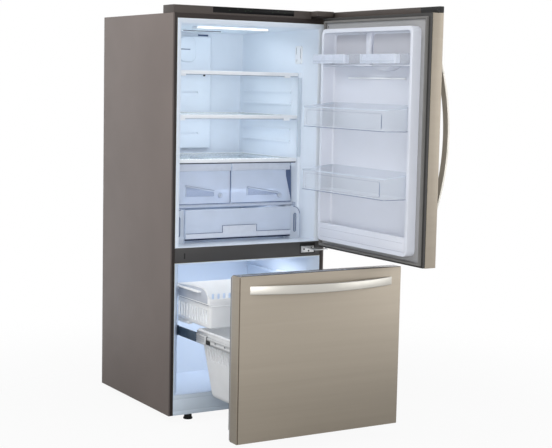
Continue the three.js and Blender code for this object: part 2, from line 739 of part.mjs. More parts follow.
function fridgeDrawers() {
  const face = [drawerFaceY, drawerFaceY + drawerFaceThickness];
  const bodyHalf = wallAt(legRear) - shelfSideGap - legThickness - slack;
  const faceHalf = wallAt(drawerFaceY) - shelfSideGap;
  const deckZ = pantryDeckTop + fit;
  const crisperTop = crisperCoverTop - shelfThickness - 2 * slack;
  const middle = legThickness / 2 + slack;
  const tub = openTub([centre + middle, centre + bodyHalf], [face[1] - 1, drawerRear],
    [deckZ, crisperTop - crisperTubDrop], tubWall);
  const slanted = (bottom, ys) => {
    const drawnIn = (z) => faceHalf - (crisperSlant * (z - deckZ)) / (crisperTop - deckZ);
    return front(outline([
      [centre + slack / 2, bottom], [centre + drawnIn(bottom), bottom],
      [centre + drawnIn(crisperTop), crisperTop], [centre + slack / 2, crisperTop],
    ]), ys);
  };
  const crisper = join(tub, slanted(deckZ, face), slanted(crisperTop - crisperBrow, [face[0] - 8, face[0] + 1]));

  const skidZ = mullionTop + linerWall + 2 * fit;
  const floorZ = skidZ + pantryLift;
  const pantryTop = pantryDeckTop - deckLipHeight - slack;
  const pantrySpan = [centre - pantryHalf, centre + pantryHalf];
  const pantryFace = box(pantrySpan, [pantryFaceY, pantryFaceY + pantryFaceThickness], [floorZ, pantryTop]);
  const grip = box([centre - pantryHandleWidth / 2, centre + pantryHandleWidth / 2],
    [pantryFaceY - 1, pantryFaceY + pantryHandleRelief],
    [floorZ + pantryHandleDrop, floorZ + pantryHandleDrop + pantryHandleHeight]);
  const pantryTub = openTub(pantrySpan, [pantryFaceY + pantryFaceThickness - 1, drawerRear], [floorZ, pantryTop - 6], tubWall);
  const skids = [pantrySpan[0], pantrySpan[1] - pantrySkidWidth].map((x) => box([x, x + pantrySkidWidth],
    [pantrySkidFront, drawerRear], [skidZ, floorZ + tubWall / 2]));
  return group(
    piece('crisper_left', mirrored(crisper), clearPlastic),
    piece('crisper_right', crisper, clearPlastic),
    piece('pantry_drawer', join(cut(pantryFace, grip), pantryTub, ...skids), clearPlastic));
}

// ---------------------------------------------------------------- freezer and machine compartments
// a row of fins standing on a spine
function comb([x0, x1], [y0, y1], [z0, z1], teeth) {
  const spine = 8;
  const pitch = (x1 - x0) / (2 * teeth - 1);
  const points = [[x0, z0], [x1, z0]];
  for (let i = teeth - 1; i >= 0; i--) {
    const left = x0 + 2 * i * pitch;
    points.push([left + pitch, z1], [left, z1]);
    if (i > 0) points.push([left, z0 + spine], [left - pitch, z0 + spine]);
  }
  return front(outline(points), [y0, y1]);
}

function freezerInterior() {
  const halfSpan = freezerHalfWidth - 4;
  const levels = [freezerShelfTop + fit, freezerCeiling - 4];
  const shell = [rearWall - fit - coilCoverDepth, rearWall - fit];
  const ventCount = 7;
  const ventPitch = 60;
  const ventSize = [40, 12];
  const ventTop = levels[1] - 28;
  const vents = Array.from({ length: ventCount }, (_, i) => {
    const x = centre + (i - (ventCount - 1) / 2) * ventPitch;
    return box([x - ventSize[0] / 2, x + ventSize[0] / 2], [shell[0] - 1, shell[0] + linerWall + 1],
      [ventTop - ventSize[1], ventTop]);
  });
  const span = [centre - halfSpan, centre + halfSpan];
  const cover = cut(box(span, shell, levels),
    box(inset(span, linerWall), [shell[0] + linerWall, shell[1] + 1], inset(levels, linerWall)), ...vents);
  const evaporator = comb([centre - coilWidth / 2, centre + coilWidth / 2], [shell[0] + coilCoverGap, rearWall - fit],
    [levels[0] + coilRise, levels[1] - coilDrop], coilRows);
  return group(
    piece('freezer_duct_cover', cover, whiteTrim),
    piece('evaporator', evaporator, finMetal));
}

function machineCompartment() {
  const pan = cabinetBottom + baseThickness + fit;
  const middleY = (machineFront + cabinetDepth) / 2;
  const top = compressorHeight;
  const [outer, inner] = [compressorRadius, compressorRadius - compressorWall];
  const shell = turned([
    [0, 0], [outer * 0.7, 0], [outer, 30], [outer, top - 40], [outer * 0.72, top - 6],
    [fillTubeRadius, top], [fillTubeRadius, top + fillTubeRise],
    [fillTubeRadius - compressorWall, top + fillTubeRise], [fillTubeRadius - compressorWall, top - compressorWall - 1],
    [outer * 0.7, top - 6 - compressorWall], [inner, top - 41], [inner, 31],
    [outer * 0.68, compressorWall], [0, compressorWall],
  ], [cabinetWidth - compressorFromRight, middleY, pan]);

  const trayX = [trayLeft, trayLeft + trayWidth];
  const trayY = [machineFront + trayFrontGap, cabinetDepth - trayRearGap];
  const tray = cut(box(trayX, trayY, [pan, pan + trayHeight]),
    box(inset(trayX, linerWall), inset(trayY, linerWall), [pan + linerWall, pan + trayHeight + 1]));
  const condenser = comb(inset(trayX, 1), inset(trayY, condenserInset),
    [pan + trayHeight + fit, pan + condenserTop], condenserRows);

  const fanZ = pan + fanRise;
  const shroudHalf = fanRadius + fanFrame;
  const shroudY = [middleY - shroudHalf, middleY + shroudHalf];
  const at = [fanX, middleY, fanZ];
  const strut = box([fanX + fanPlateRear - 6, fanX + fanPlateRear], shroudY, [fanZ - 6, fanZ + 6]);
  const shroudPlate = cut(
    box([fanX - fanPlateFront, fanX + fanPlateRear], shroudY, [pan, fanZ + shroudHalf]),
    rod(fanRadius + shroudClearance, [-fanPlateFront - 6, fanPlateRear + 10], 'x', at, 32));
  const motor = rod(fanMotorRadius, [fanPlateRear - 18, fanPlateRear], 'x', at);
  const bore = rod(axleRadius + fit, [fanPlateRear - 19, fanPlateRear - 4], 'x', at);
  return group(
    piece('compressor', shell, compressorBlack),
    piece('drain_tray', tray, blackPlastic),
    piece('condenser', condenser, finMetal),
    piece('fan_motor_shroud', cut(join(shroudPlate, strut, motor), bore), blackPlastic),
    piece('condenser_fan', fan(at), blackPlastic));
}

function fan([x, y, z]) {
  const hub = rod(16, [-8, 8], 'x', [x, y, z]);
  const shaft = rod(axleRadius, [7, 25], 'x', [x, y, z], 12);
  const blades = Array.from({ length: fanBlades }, (_, i) => {
    const blade = new THREE.BoxGeometry(2.4, 26, fanRadius - 12);
    blade.rotateZ(Math.PI / 5);
    blade.translate(0, 0, (fanRadius + 12) / 2);
    return blade.rotateX((i * 2 * Math.PI) / fanBlades).translate(x, y, z);
  });
  return join(hub, shaft, ...blades);
}

// ---------------------------------------------------------------- feet and rollers
function footPlaces() {
  return [footX, cabinetWidth - footX];
}

function rollerPlaces() {
  return [rollerX, cabinetWidth - rollerX];
}

function footStudTop() {
  return cabinetBottom + baseThickness + 26;
}

function standing() {
  const feet = footPlaces().map((x, i) => piece(['foot_left', 'foot_right'][i], turned([
    [0, 0], [footRadius, 0], [footRadius, 7], [footRadius * 0.55, 13], [footRadius * 0.55, cabinetBottom - fit],
    [studRadius, cabinetBottom - fit], [studRadius, footStudTop()], [0, footStudTop()],
  ], [x, footY, 0], 24), blackPlastic));
  const rollers = rollerPlaces().map((x, i) => piece(['roller_left', 'roller_right'][i], join(
    rod(rollerRadius, [-rollerWidth / 2, rollerWidth / 2], 'x', [x, rollerY, rollerRadius], 32),
    rod(axleRadius, [-rollerWidth / 2 - 5, rollerWidth / 2 + 5], 'x', [x, rollerY, rollerRadius], 12),
  ), blackPlastic));
  return group(...feet, ...rollers);
}

// ---------------------------------------------------------------- top covers and hinges
const hingeX = cabinetWidth - hingeInset;
const hingeY = -hingeForward;
const doorFront = -gasketGap - doorThickness;

function eyeOutline(left, radius, rear) {
  const shape = new THREE.Shape();
  shape.moveTo(left, rear);
  shape.lineTo(left, hingeY - radius);
  shape.lineTo(hingeX, hingeY - radius);
  shape.absarc(hingeX, hingeY, radius, -Math.PI / 2, Math.PI / 2, false);
  shape.lineTo(hingeX, rear);
  return shape;
}

function topCovers() {
  const bottom = cabinetTop + fit;
  const top = cabinetTop + coverHeight;
  const displayZ = [top - displayDrop - displayHeight, top - displayDrop];
  const display = [displayLeft, displayRight];
  const body = cut(box([0, coverSplit - fit], [0, coverDepth], [bottom, top]),
    box([coverWall, coverSplit - fit - coverWall], inset([0, coverDepth], coverWall + 2), [bottom - 1, top - coverWall]),
    box(display, [-1, displayDepth], displayZ));
  const panel = box(inset(display, fit), [displayProud, displayDepth - fit], inset(displayZ, fit));

  const armTop = doorTop + 2 + hingePlate;
  const eye = hingeEyeRadius;
  const hood = join(
    box([coverSplit, cabinetWidth], [0, coverDepth], [bottom, top]),
    plan(eyeOutline(coverSplit, eye, 1), [armTop + fit, top]));
  const hollow = join(
    box([coverSplit + coverWall, cabinetWidth - coverWall], [2 * coverWall, coverDepth - coverWall],
      [bottom - 1, top - coverWall]),
    box([coverSplit + coverWall, hingeX + eye], [-2, 3 * coverWall], [bottom - 1, armTop + 2]),
  );
  return group(
    piece('control_cover', body, greyPlastic),
    piece('control_panel', panel, blackGloss),
    piece('hinge_cover', cut(hood, hollow), greyPlastic));
}

function hinges() {
  const arm = [doorTop + 2, doorTop + 2 + hingePlate];
  const padLeft = coverSplit + hingePadInset;
  const topHinge = join(
    box([padLeft, hingeX], [6, coverDepth - 20], [cabinetTop + fit, arm[1]]),
    plan(eyeOutline(padLeft, hingeEyeRadius - 1, 7), arm),
    rod(pinRadius, [doorTop - pinLength, doorTop + 3], 'z', [hingeX, hingeY, 0]));

  const shelfZ = [(doorBottom + drawerTop) / 2 - hingePlate, (doorBottom + drawerTop) / 2];
  const plateRight = hingeX - middleHingeFromPin;
  const middleHinge = join(
    box([plateRight - middleHingeWidth, plateRight], [-fit - middleHingeThickness, -fit],
      [mullionBottom + middleHingeRise, doorBottom + 1]),
    plan(eyeOutline(hingeX - middleHingeArm, hingeEyeRadius, -fit), shelfZ),
    rod(pinRadius, [shelfZ[0] + 1, doorBottom + pinLength], 'z', [hingeX, hingeY, 0]));
  return group(
    piece('top_hinge', topHinge, galvanised),
    piece('middle_hinge', middleHinge, galvanised));
}

// ---------------------------------------------------------------- panels shared by door and drawer
// a panel's plan with rounded upright front edges, drawn in by `shrink` on the sides and front
function panelPlan(yFront, yRear, shrink) {
  const radius = skinEdgeRadius - shrink;
  const shape = new THREE.Shape();
  const [x0, x1] = inset([0, cabinetWidth], shrink);
  const y0 = yFront + shrink;
  shape.moveTo(x0 + radius, y0);
  shape.lineTo(x1 - radius, y0);
  shape.absarc(x1 - radius, y0 + radius, radius, -Math.PI / 2, 0, false);
  shape.lineTo(x1, yRear);
  shape.lineTo(x0, yRear);
  shape.absarc(x0 + radius, y0 + radius, radius, Math.PI, Math.PI * 1.5, false);
  return shape;
}

function panelBlock(yFront, yRear, levels, shrink = 0) {
  return plan(panelPlan(yFront, yRear, shrink), inset(levels, shrink));
}

function frameRing(xs, zs, width, ys, radius = 4) {
  const shape = withHole(roundedRectangle(xs, zs, radius), roundedRectangle(inset(xs, width), inset(zs, width), radius));
  return front(shape, ys);
}

// the bowed strap, seen from above: panel face at y = 0, bowing towards -Y, centred on x = 0
function strapOutline() {
  const steps = 20;
  const half = handleLength / 2;
  const arc = (halfSpan, bow) => Array.from({ length: steps + 1 }, (_, i) => {
    const t = -1 + (2 * i) / steps;
    return [t * halfSpan, -fit - bow * (1 - t * t)];
  });
  const outer = arc(half, handleBow - fit);
  const inner = arc(half - handleFoot, handleBow - fit - handleStrap).reverse();
  return outline([...outer, ...inner].slice().reverse());
}

// ---------------------------------------------------------------- refrigerator door, drawn shut
function door() {
  const inner = -gasketGap;
  const plateY = [inner - linerPlate, inner];
  const panEnd = plateY[0] - fit;
  const levels = [doorBottom, doorTop];
  const browTop = doorTop + doorBrow;
  const browRear = doorFront + browThickness;
  const upperPin = rod(pinRadius + fit, [doorTop - pinLength - 2, doorTop + 1], 'z', [hingeX, hingeY, 0]);
  const lowerPin = rod(pinRadius + fit, [doorBottom - 1, doorBottom + pinLength + 2], 'z', [hingeX, hingeY, 0]);

  const brow = cut(panelBlock(doorFront, browRear, [doorTop - 1, browTop]),
    panelBlock(doorFront, browRear + 2, [doorTop - 2 * sheet, browTop + 2 * sheet], sheet));
  const shell = cut(panelBlock(doorFront, panEnd, levels), panelBlock(doorFront, panEnd + 1 + sheet, levels, sheet));
  const skin = cut(join(shell, brow), upperPin, lowerPin);
  const cap = plan(panelPlan(doorFront, browRear, sheet + fit), [doorTop + fit, browTop]);

  const dyke = { x: [dykeLeft, dykeRight], z: [dykeBottom, dykeTop] };
  const recess = { x: inset(dyke.x, dykeWall), z: inset(dyke.z, dykeWall) };
  const recessFloor = inner - doorRecess;
  const block = front(roundedRectangle(inset([0, cabinetWidth], 2), inset(levels, 2), 3), plateY);
  const raised = front(roundedRectangle(dyke.x, dyke.z, 24), [recessFloor - linerWall, inner + dykeHeight]);
  const hollow = front(roundedRectangle(recess.x, recess.z, 14), [recessFloor, inner + dykeHeight + 1]);
  const ledgeTop = smallBinBottom - ledgeDrop;
  const ledge = box(inset(recess.x, -1), [recessFloor - 1, inner + dykeHeight], [ledgeTop - ledgeThickness, ledgeTop]);
  const retainerBottom = dykeBottom + dykeWall;
  const retainer = box(inset(recess.x, -1), [inner + dykeHeight - retainerThickness, inner + dykeHeight],
    [retainerBottom - 1, retainerBottom + retainerHeight]);
  const liner = cut(join(cut(join(block, raised), hollow), ledge, retainer), upperPin, lowerPin);

  const foamBlock = cut(panelBlock(doorFront, panEnd, levels, sheet + fit),
    front(roundedRectangle(inset(dyke.x, -fit), inset(dyke.z, -fit), 24), [recessFloor - linerWall - fit, 0]),
    rod(pinRadius + 2, [doorTop - pinLength - 4, doorTop + 1], 'z', [hingeX, hingeY, 0]),
    rod(pinRadius + 2, [doorBottom - 1, doorBottom + pinLength + 4], 'z', [hingeX, hingeY, 0]));

  const gasket = frameRing([6, hingeX + 3], [doorBottom + 3, doorTop - 8], gasketWidth, [inner + fit, -fit]);
  const grip = extruded(strapOutline(), handleWidth);
  const upright = new THREE.Matrix4().makeBasis(
    new THREE.Vector3(0, 0, 1), new THREE.Vector3(0, 1, 0), new THREE.Vector3(-1, 0, 0));
  grip.applyMatrix4(upright).translate(doorHandleInset + handleWidth, doorFront, doorHandleCentreZ);

  const smallLeft = [binLeft + 8, binLeft + 8 + smallBinWidth];
  const smallRight = [binRight - smallBinWidth, binRight];
  const binBack = recessFloor + fit;
  const smallBins = Object.entries({ outer: smallLeft, hinge: smallRight }).map(([place, span]) => piece(
    `door_bin_small_${place}`,
    bin(span, [binBack, smallBinFront], smallBinBottom, smallBinHeight, smallBinFrontHeight), clearPlastic));
  return group(
    piece('door_skin', skin, stainless),
    piece('door_insulation', foamBlock, foam),
    piece('door_liner', liner, whiteLiner),
    piece('door_gasket', gasket, rubber),
    piece('door_top_cap', cap, greyPlastic),
    piece('door_handle', grip, handleMetal),
    ...smallBins,
    piece('door_bin_middle', bin([binLeft, binRight], [binBack, binFront], middleBinBottom, binRearHeight, binFrontHeight),
      clearPlastic),
    piece('door_bin_lower', bin([binLeft, binRight], [binBack, binFront], lowerBinBottom, binRearHeight, binFrontHeight),
      clearPlastic));
}

// an open bin whose side walls fall from the rear to the front
function bin(widths, [y0, y1], bottom, rearHeight, frontHeight) {
  const profile = (low) => outline([
    [y0 + low, bottom + low], [y1 - low, bottom + low],
    [y1 - low, bottom + (low ? rearHeight + 1 : frontHeight)],
    [y0 + low, bottom + rearHeight + (low ? 1 : 0)],
  ]);
  return cut(side(profile(0), widths), side(profile(binWall), inset(widths, binWall)));
}

// ---------------------------------------------------------------- freezer drawer, drawn shut
const slideInner = centre - freezerHalfWidth + fit; // the left rail's web against the liner
const bracketX = slideInner + railDepth + fit;
const bracketFront = -gasketGap + drawerLinerRise + fit;

function handed(name, geometry, material) {
  return [piece(`${name}_left`, geometry, material), piece(`${name}_right`, mirrored(geometry), material)];
}

function fixedRails() {
  const z = [railBottom, railBottom + railHeight];
  const x = [slideInner, slideInner + railDepth];
  const channel = cut(box(x, [freezerLipDepth, freezerLipDepth + railLength], z),
    box([x[0] + railGauge, x[1] + 1], [freezerLipDepth - 1, freezerLipDepth + railLength + 1], inset(z, railGauge)));
  return group(...handed('slide_rail', channel, slideGrey));
}

function middleSlides() {
  const x = [slideInner + railGauge + fit, slideInner + railDepth];
  const z = inset([railBottom, railBottom + railHeight], railGauge + 0.5);
  const length = [freezerLipDepth, freezerLipDepth + railLength];
  const bar = cut(box(x, length, z), box([x[0] + 2, x[1] + 1], [length[0] - 1, length[1] + 1], inset(z, 3)));
  return group(...handed('slide_middle', bar, galvanised));
}

function drawerBrackets() {
  const run = [bracketFront, bracketReach];
  const tongue = box([bracketX - bracketTongue, bracketX + 1], [run[0] + bracketTongueStart, run[1]],
    inset([railBottom, railBottom + railHeight], bracketTongueInset));
  const web = box([bracketX, bracketX + bracketGauge], run, [railBottom + slack, bracketTop]);
  const ledge = box([bracketX, bracketX + bracketShelf], run, [bracketTop - bracketGauge, bracketTop]);
  const foot = box([bracketX, bracketX + bracketFootWidth], [run[0], run[0] + bracketGauge],
    [railBottom - bracketFootDrop, railBottom + bracketFootRise]);
  return handed('drawer_bracket', join(tongue, web, ledge, foot), slideGrey);
}

function freezerDrawer() {
  const inner = -gasketGap;
  const drawerFront = inner - drawerThickness;
  const plateY = [inner - linerPlate, inner];
  const panEnd = plateY[0] - fit;
  const levels = [drawerBottom, drawerTop];
  const skin = cut(panelBlock(drawerFront, panEnd, levels), panelBlock(drawerFront, panEnd + 1 + sheet, levels, sheet));
  const core = panelBlock(drawerFront, panEnd, levels, sheet + fit);
  const raisedX = [centre - freezerHalfWidth + 8, centre + freezerHalfWidth - 8];
  const raisedZ = [freezerFloor + 14, mullionBottom - 24];
  const liner = join(front(roundedRectangle(inset([0, cabinetWidth], 2), inset(levels, 2), 3), plateY),
    front(roundedRectangle(raisedX, raisedZ, 20), [inner - 1, bracketFront - fit]));
  const gasket = frameRing([4, cabinetWidth - 4], [sillTop - 22, mullionBottom + gasketWidth], gasketWidth,
    [inner + fit, -fit]);
  const grip = plan(strapOutline(), [drawerHandleTop - handleWidth, drawerHandleTop]).translate(centre, drawerFront, 0);
  return group(
    piece('drawer_skin', skin, stainless),
    piece('drawer_insulation', core, foam),
    piece('drawer_liner', liner, whiteLiner),
    piece('drawer_gasket', gasket, rubber),
    piece('drawer_handle', grip, handleMetal),
    piece('lower_basket', lowerBasket(), whiteTrim),
    ...drawerBrackets());
}

function slotRow(count, from, to, make) {
  return Array.from({ length: count }, (_, i) => make(from + ((to - from) * (i + 0.5)) / count));
}

// a laundry-basket shape: rim on the brackets, body drawn in towards its floor, one row of slots
function lowerBasket() {
  const x0 = bracketX + bracketShelf + slack;
  const rimZ = [bracketTop + fit, bracketTop + fit + basketRimHeight];
  const y = [bracketFront + bracketGauge + slack, bracketReach + lowerBasketOverhang];
  const top = { x: [x0, cabinetWidth - x0], y };
  const bottom = { x: inset(top.x, lowerBasketDraw.side), y: [y[0] + lowerBasketDraw.front, y[1] - lowerBasketDraw.rear] };
  const wall = lowerBasketWall;
  const rim = plan(roundedRectangle(inset(top.x, -bracketShelf), inset(top.y, -1), 20), rimZ);
  const inside = tapered([inset(bottom.x, wall), inset(bottom.y, wall)], [inset(top.x, wall), inset(top.y, wall)],
    [lowerBasketBottom + wall, rimZ[1] + 1], basketCorner - wall);
  const outside = tapered([bottom.x, bottom.y], [top.x, top.y], [lowerBasketBottom, rimZ[1] - 1], basketCorner);
  const slotZ = slotBand.map((drop) => rimZ[0] - drop);
  const acrossX = slotRow(14, top.x[0] + 60, top.x[1] - 60, (x) => box([x - 5, x + 5], [y[1] - 40, y[1] + 10], slotZ));
  const alongLeft = slotRow(9, y[0] + 30, y[1] - 40, (v) => box([top.x[0] - 10, top.x[0] + 30], [v - 4, v + 4], slotZ));
  const alongRight = slotRow(9, y[0] + 30, y[1] - 40, (v) => box([top.x[1] - 30, top.x[1] + 10], [v - 4, v + 4], slotZ));
  return cut(join(outside, rim), inside, ...acrossX, ...alongLeft, ...alongRight);
}

// the sliding basket above: a low front, a band around its top, and rims that run back along the liner's runners
function upperBasket() {
  const edge = freezerHalfWidth - runnerWidth - slack;
  const wall = lowerBasketWall;
  const widths = [centre - edge, centre + edge];
  const narrow = inset(widths, upperBasketBandStep);
  const depths = [upperBasketFront, upperBasketFront + upperBasketDepth];
  const bandBottom = upperBasketCrest - upperBasketBand;
  const frontTop = upperBasketCrest - upperBasketDip;
  const outside = join(box(narrow, depths, [upperBasketBottom, bandBottom + 1]), box(widths, depths, [bandBottom, upperBasketCrest]));
  const lowerRoom = box(inset(narrow, wall), inset(depths, wall), [upperBasketBottom + wall, upperBasketCrest + 1]);
  const upperRoom = box(inset(widths, wall), inset(depths, wall), [bandBottom + wall, upperBasketCrest + 1]);
  const shoulder = new THREE.Shape();
  shoulder.moveTo(depths[0] - 5, frontTop);
  shoulder.lineTo(depths[0], frontTop);
  shoulder.absarc(depths[0] + upperBasketDip, frontTop, upperBasketDip, Math.PI, Math.PI / 2, true);
  shoulder.lineTo(depths[0] + upperBasketCrestEnd, upperBasketCrest);
  shoulder.lineTo(depths[1] + 5, upperBasketRearTop);
  shoulder.lineTo(depths[1] + 5, upperBasketCrest + 5);
  shoulder.lineTo(depths[0] - 5, upperBasketCrest + 5);
  const dip = side(shoulder, inset(widths, -5));
  const rims = [1, -1].map((hand) => {
    const outer = centre + hand * (freezerHalfWidth - slack);
    const root = centre + hand * (edge - 1);
    return box([Math.min(outer, root), Math.max(outer, root)], [depths[0] + upperBasketDip + 5, upperBasketRear],
      [runnerTop + fit, runnerTop + fit + upperBasketRim]);
  });
  const half = upperBasketSlotWidth / 2;
  const sideRow = upperBasketSideSlots;
  const sideSlotZ = [upperBasketBottom + sideRow.clearOfFloor, bandBottom - sideRow.clearOfBand];
  const sideSlots = slotRow(sideRow.count, depths[0] + sideRow.clearOfFront, depths[1] - sideRow.clearOfRear, (y) =>
    box([widths[0] - 5, widths[1] + 5], [y - half, y + half], sideSlotZ));
  const rearRow = upperBasketRearSlots;
  const rearSlotTop = bandBottom - rearRow.clearOfBand;
  const rearSlots = slotRow(rearRow.count, widths[0] + rearRow.clearOfSide, widths[1] - rearRow.clearOfSide, (x) =>
    box([x - half, x + half], [depths[1] - 10, depths[1] + 5], [rearSlotTop - rearRow.height, rearSlotTop]));
  return piece('upper_basket', join(cut(outside, lowerRoom, upperRoom, dip, ...sideSlots, ...rearSlots), ...rims), whiteTrim);
}

// ---------------------------------------------------------------- assembly in the rest pose
const doorSwing = group(door());
doorSwing.children[0].position.set(-hingeX, -hingeY, 0);
doorSwing.position.set(hingeX, hingeY, 0);
doorSwing.rotation.z = THREE.MathUtils.degToRad(doorRestAngle);

const drawerOut = freezerDrawer();
drawerOut.position.y = -drawerRestTravel;

const slidesOut = middleSlides();
slidesOut.position.y = -drawerRestTravel * slideRatio;

const basketOut = group(upperBasket());
basketOut.position.y = -drawerRestTravel * basketRatio;

const refrigerator = group(cabinet(), liners(), fridgeInterior(), fridgeDrawers(), freezerInterior(), machineCompartment(),
  standing(), topCovers(), hinges(), fixedRails(), slidesOut, basketOut, drawerOut, doorSwing);

// the origin is on the floor, under the centre of the whole object as it rests
const extent = new THREE.Box3().setFromObject(refrigerator);
const middle = extent.getCenter(new THREE.Vector3());
refrigerator.position.set(-middle.x, -middle.y, -extent.min.z);

const model = group(refrigerator);

export default model;
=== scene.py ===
"""A bottom freezer refrigerator with its door open and its freezer drawer pulled out.

Every piece is modelled in the millimetres of its own sub-assembly, as that
sub-assembly is drawn shut, and is then moved to where it rests in the open pose.
"""

import logging
import math
from collections.abc import Callable, Iterable, Sequence
from dataclasses import dataclass, replace
from enum import Enum

import bpy
from mathutils import Matrix, Vector


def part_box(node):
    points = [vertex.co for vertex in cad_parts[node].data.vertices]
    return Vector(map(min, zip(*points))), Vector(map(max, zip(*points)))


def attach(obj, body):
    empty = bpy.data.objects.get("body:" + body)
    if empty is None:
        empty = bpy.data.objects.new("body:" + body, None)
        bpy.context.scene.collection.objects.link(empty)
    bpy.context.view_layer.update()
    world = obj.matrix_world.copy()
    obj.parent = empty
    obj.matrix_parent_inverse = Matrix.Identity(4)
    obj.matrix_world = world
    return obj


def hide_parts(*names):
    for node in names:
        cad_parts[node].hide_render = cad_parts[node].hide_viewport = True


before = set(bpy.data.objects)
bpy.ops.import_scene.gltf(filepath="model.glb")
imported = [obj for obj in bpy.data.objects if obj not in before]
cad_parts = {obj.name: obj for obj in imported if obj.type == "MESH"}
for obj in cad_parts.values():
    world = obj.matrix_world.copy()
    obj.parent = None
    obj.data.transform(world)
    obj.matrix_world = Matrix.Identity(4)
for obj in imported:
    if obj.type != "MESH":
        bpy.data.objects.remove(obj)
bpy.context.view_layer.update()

LOG = logging.getLogger("refrigerator")

Span = tuple[float, float]
Point = tuple[float, float, float]
Flat = tuple[float, float]
Tree = bpy.types.NodeTree
Node = bpy.types.Node

# The cabinet's middle and the fresh food compartment's floor, in millimetres.
MIDDLE = 378.0
FRESH_FLOOR = 743.7

# ---- places
CABINET_ORIGIN = (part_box("outer_case")[0].x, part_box("face_frame")[0].y)
HINGE_AXIS = (741.0, -42.0)
DOOR_REST_ANGLE = 90.0
DRAWER_REST = 506.0
SLIDE_REST = 253.0
BASKET_REST = 237.82


def shifted(x: float, y: float, z: float) -> Matrix:
    """Returns a move by x, y and z."""
    return Matrix.Translation((x, y, z))


def cabinet_frame() -> Matrix:
    """Returns the move from cabinet millimetres to the model's metres."""
    return shifted(CABINET_ORIGIN[0], CABINET_ORIGIN[1], 0.0) @ Matrix.Scale(0.001, 4)


class Home(Enum):
    """The sub-assemblies that pieces belong to, by the body that carries them."""

    CABINET = "cabinet"
    DOOR = "refrigerator_door"
    DRAWER = "freezer_drawer"
    LEFT_SLIDE = "left_middle_slide"
    RIGHT_SLIDE = "right_middle_slide"
    BASKET = "freezer_upper_basket"
    LEFT_CRISPER = "left_crisper"
    RIGHT_CRISPER = "right_crisper"
    PANTRY = "pantry"
    LEFT_FOOT = "left_foot"
    RIGHT_FOOT = "right_foot"
    LEFT_ROLLER = "left_roller"
    RIGHT_ROLLER = "right_roller"
    FAN = "fan"

    def place(self) -> Matrix:
        """Returns where this sub-assembly rests.

        Returns:
            The move from its own millimetres, drawn shut, to the model's metres.
        """
        base = cabinet_frame()
        if self is Home.DOOR:
            x, y = HINGE_AXIS
            swing = Matrix.Rotation(math.radians(DOOR_REST_ANGLE), 4, "Z")
            return base @ shifted(x, y, 0.0) @ swing @ shifted(-x, -y, 0.0)
        travel = {
            Home.DRAWER: DRAWER_REST,
            Home.LEFT_SLIDE: SLIDE_REST,
            Home.RIGHT_SLIDE: SLIDE_REST,
            Home.BASKET: BASKET_REST,
        }.get(self, 0.0)
        return base @ shifted(0.0, -travel, 0.0)


# ---- finishes
COAT_ROUGHNESS = 0.12
LEAST_ROUGHNESS = 0.02
SCREEN_GAMMA = 2.2
TONE_STOPS = (0.3, 0.7)
# How many finer layers each pattern holds, and how much finer gloss drifts than tone.
TONE_DETAIL, GLOSS_DETAIL, GRAIN_DETAIL = 4.0, 3.0, 2.0
GLOSS_FINENESS = 2.6


class Relief(Enum):
    """The small surface texture that a finish carries."""

    GRAIN = "grain"
    CELLS = "cells"


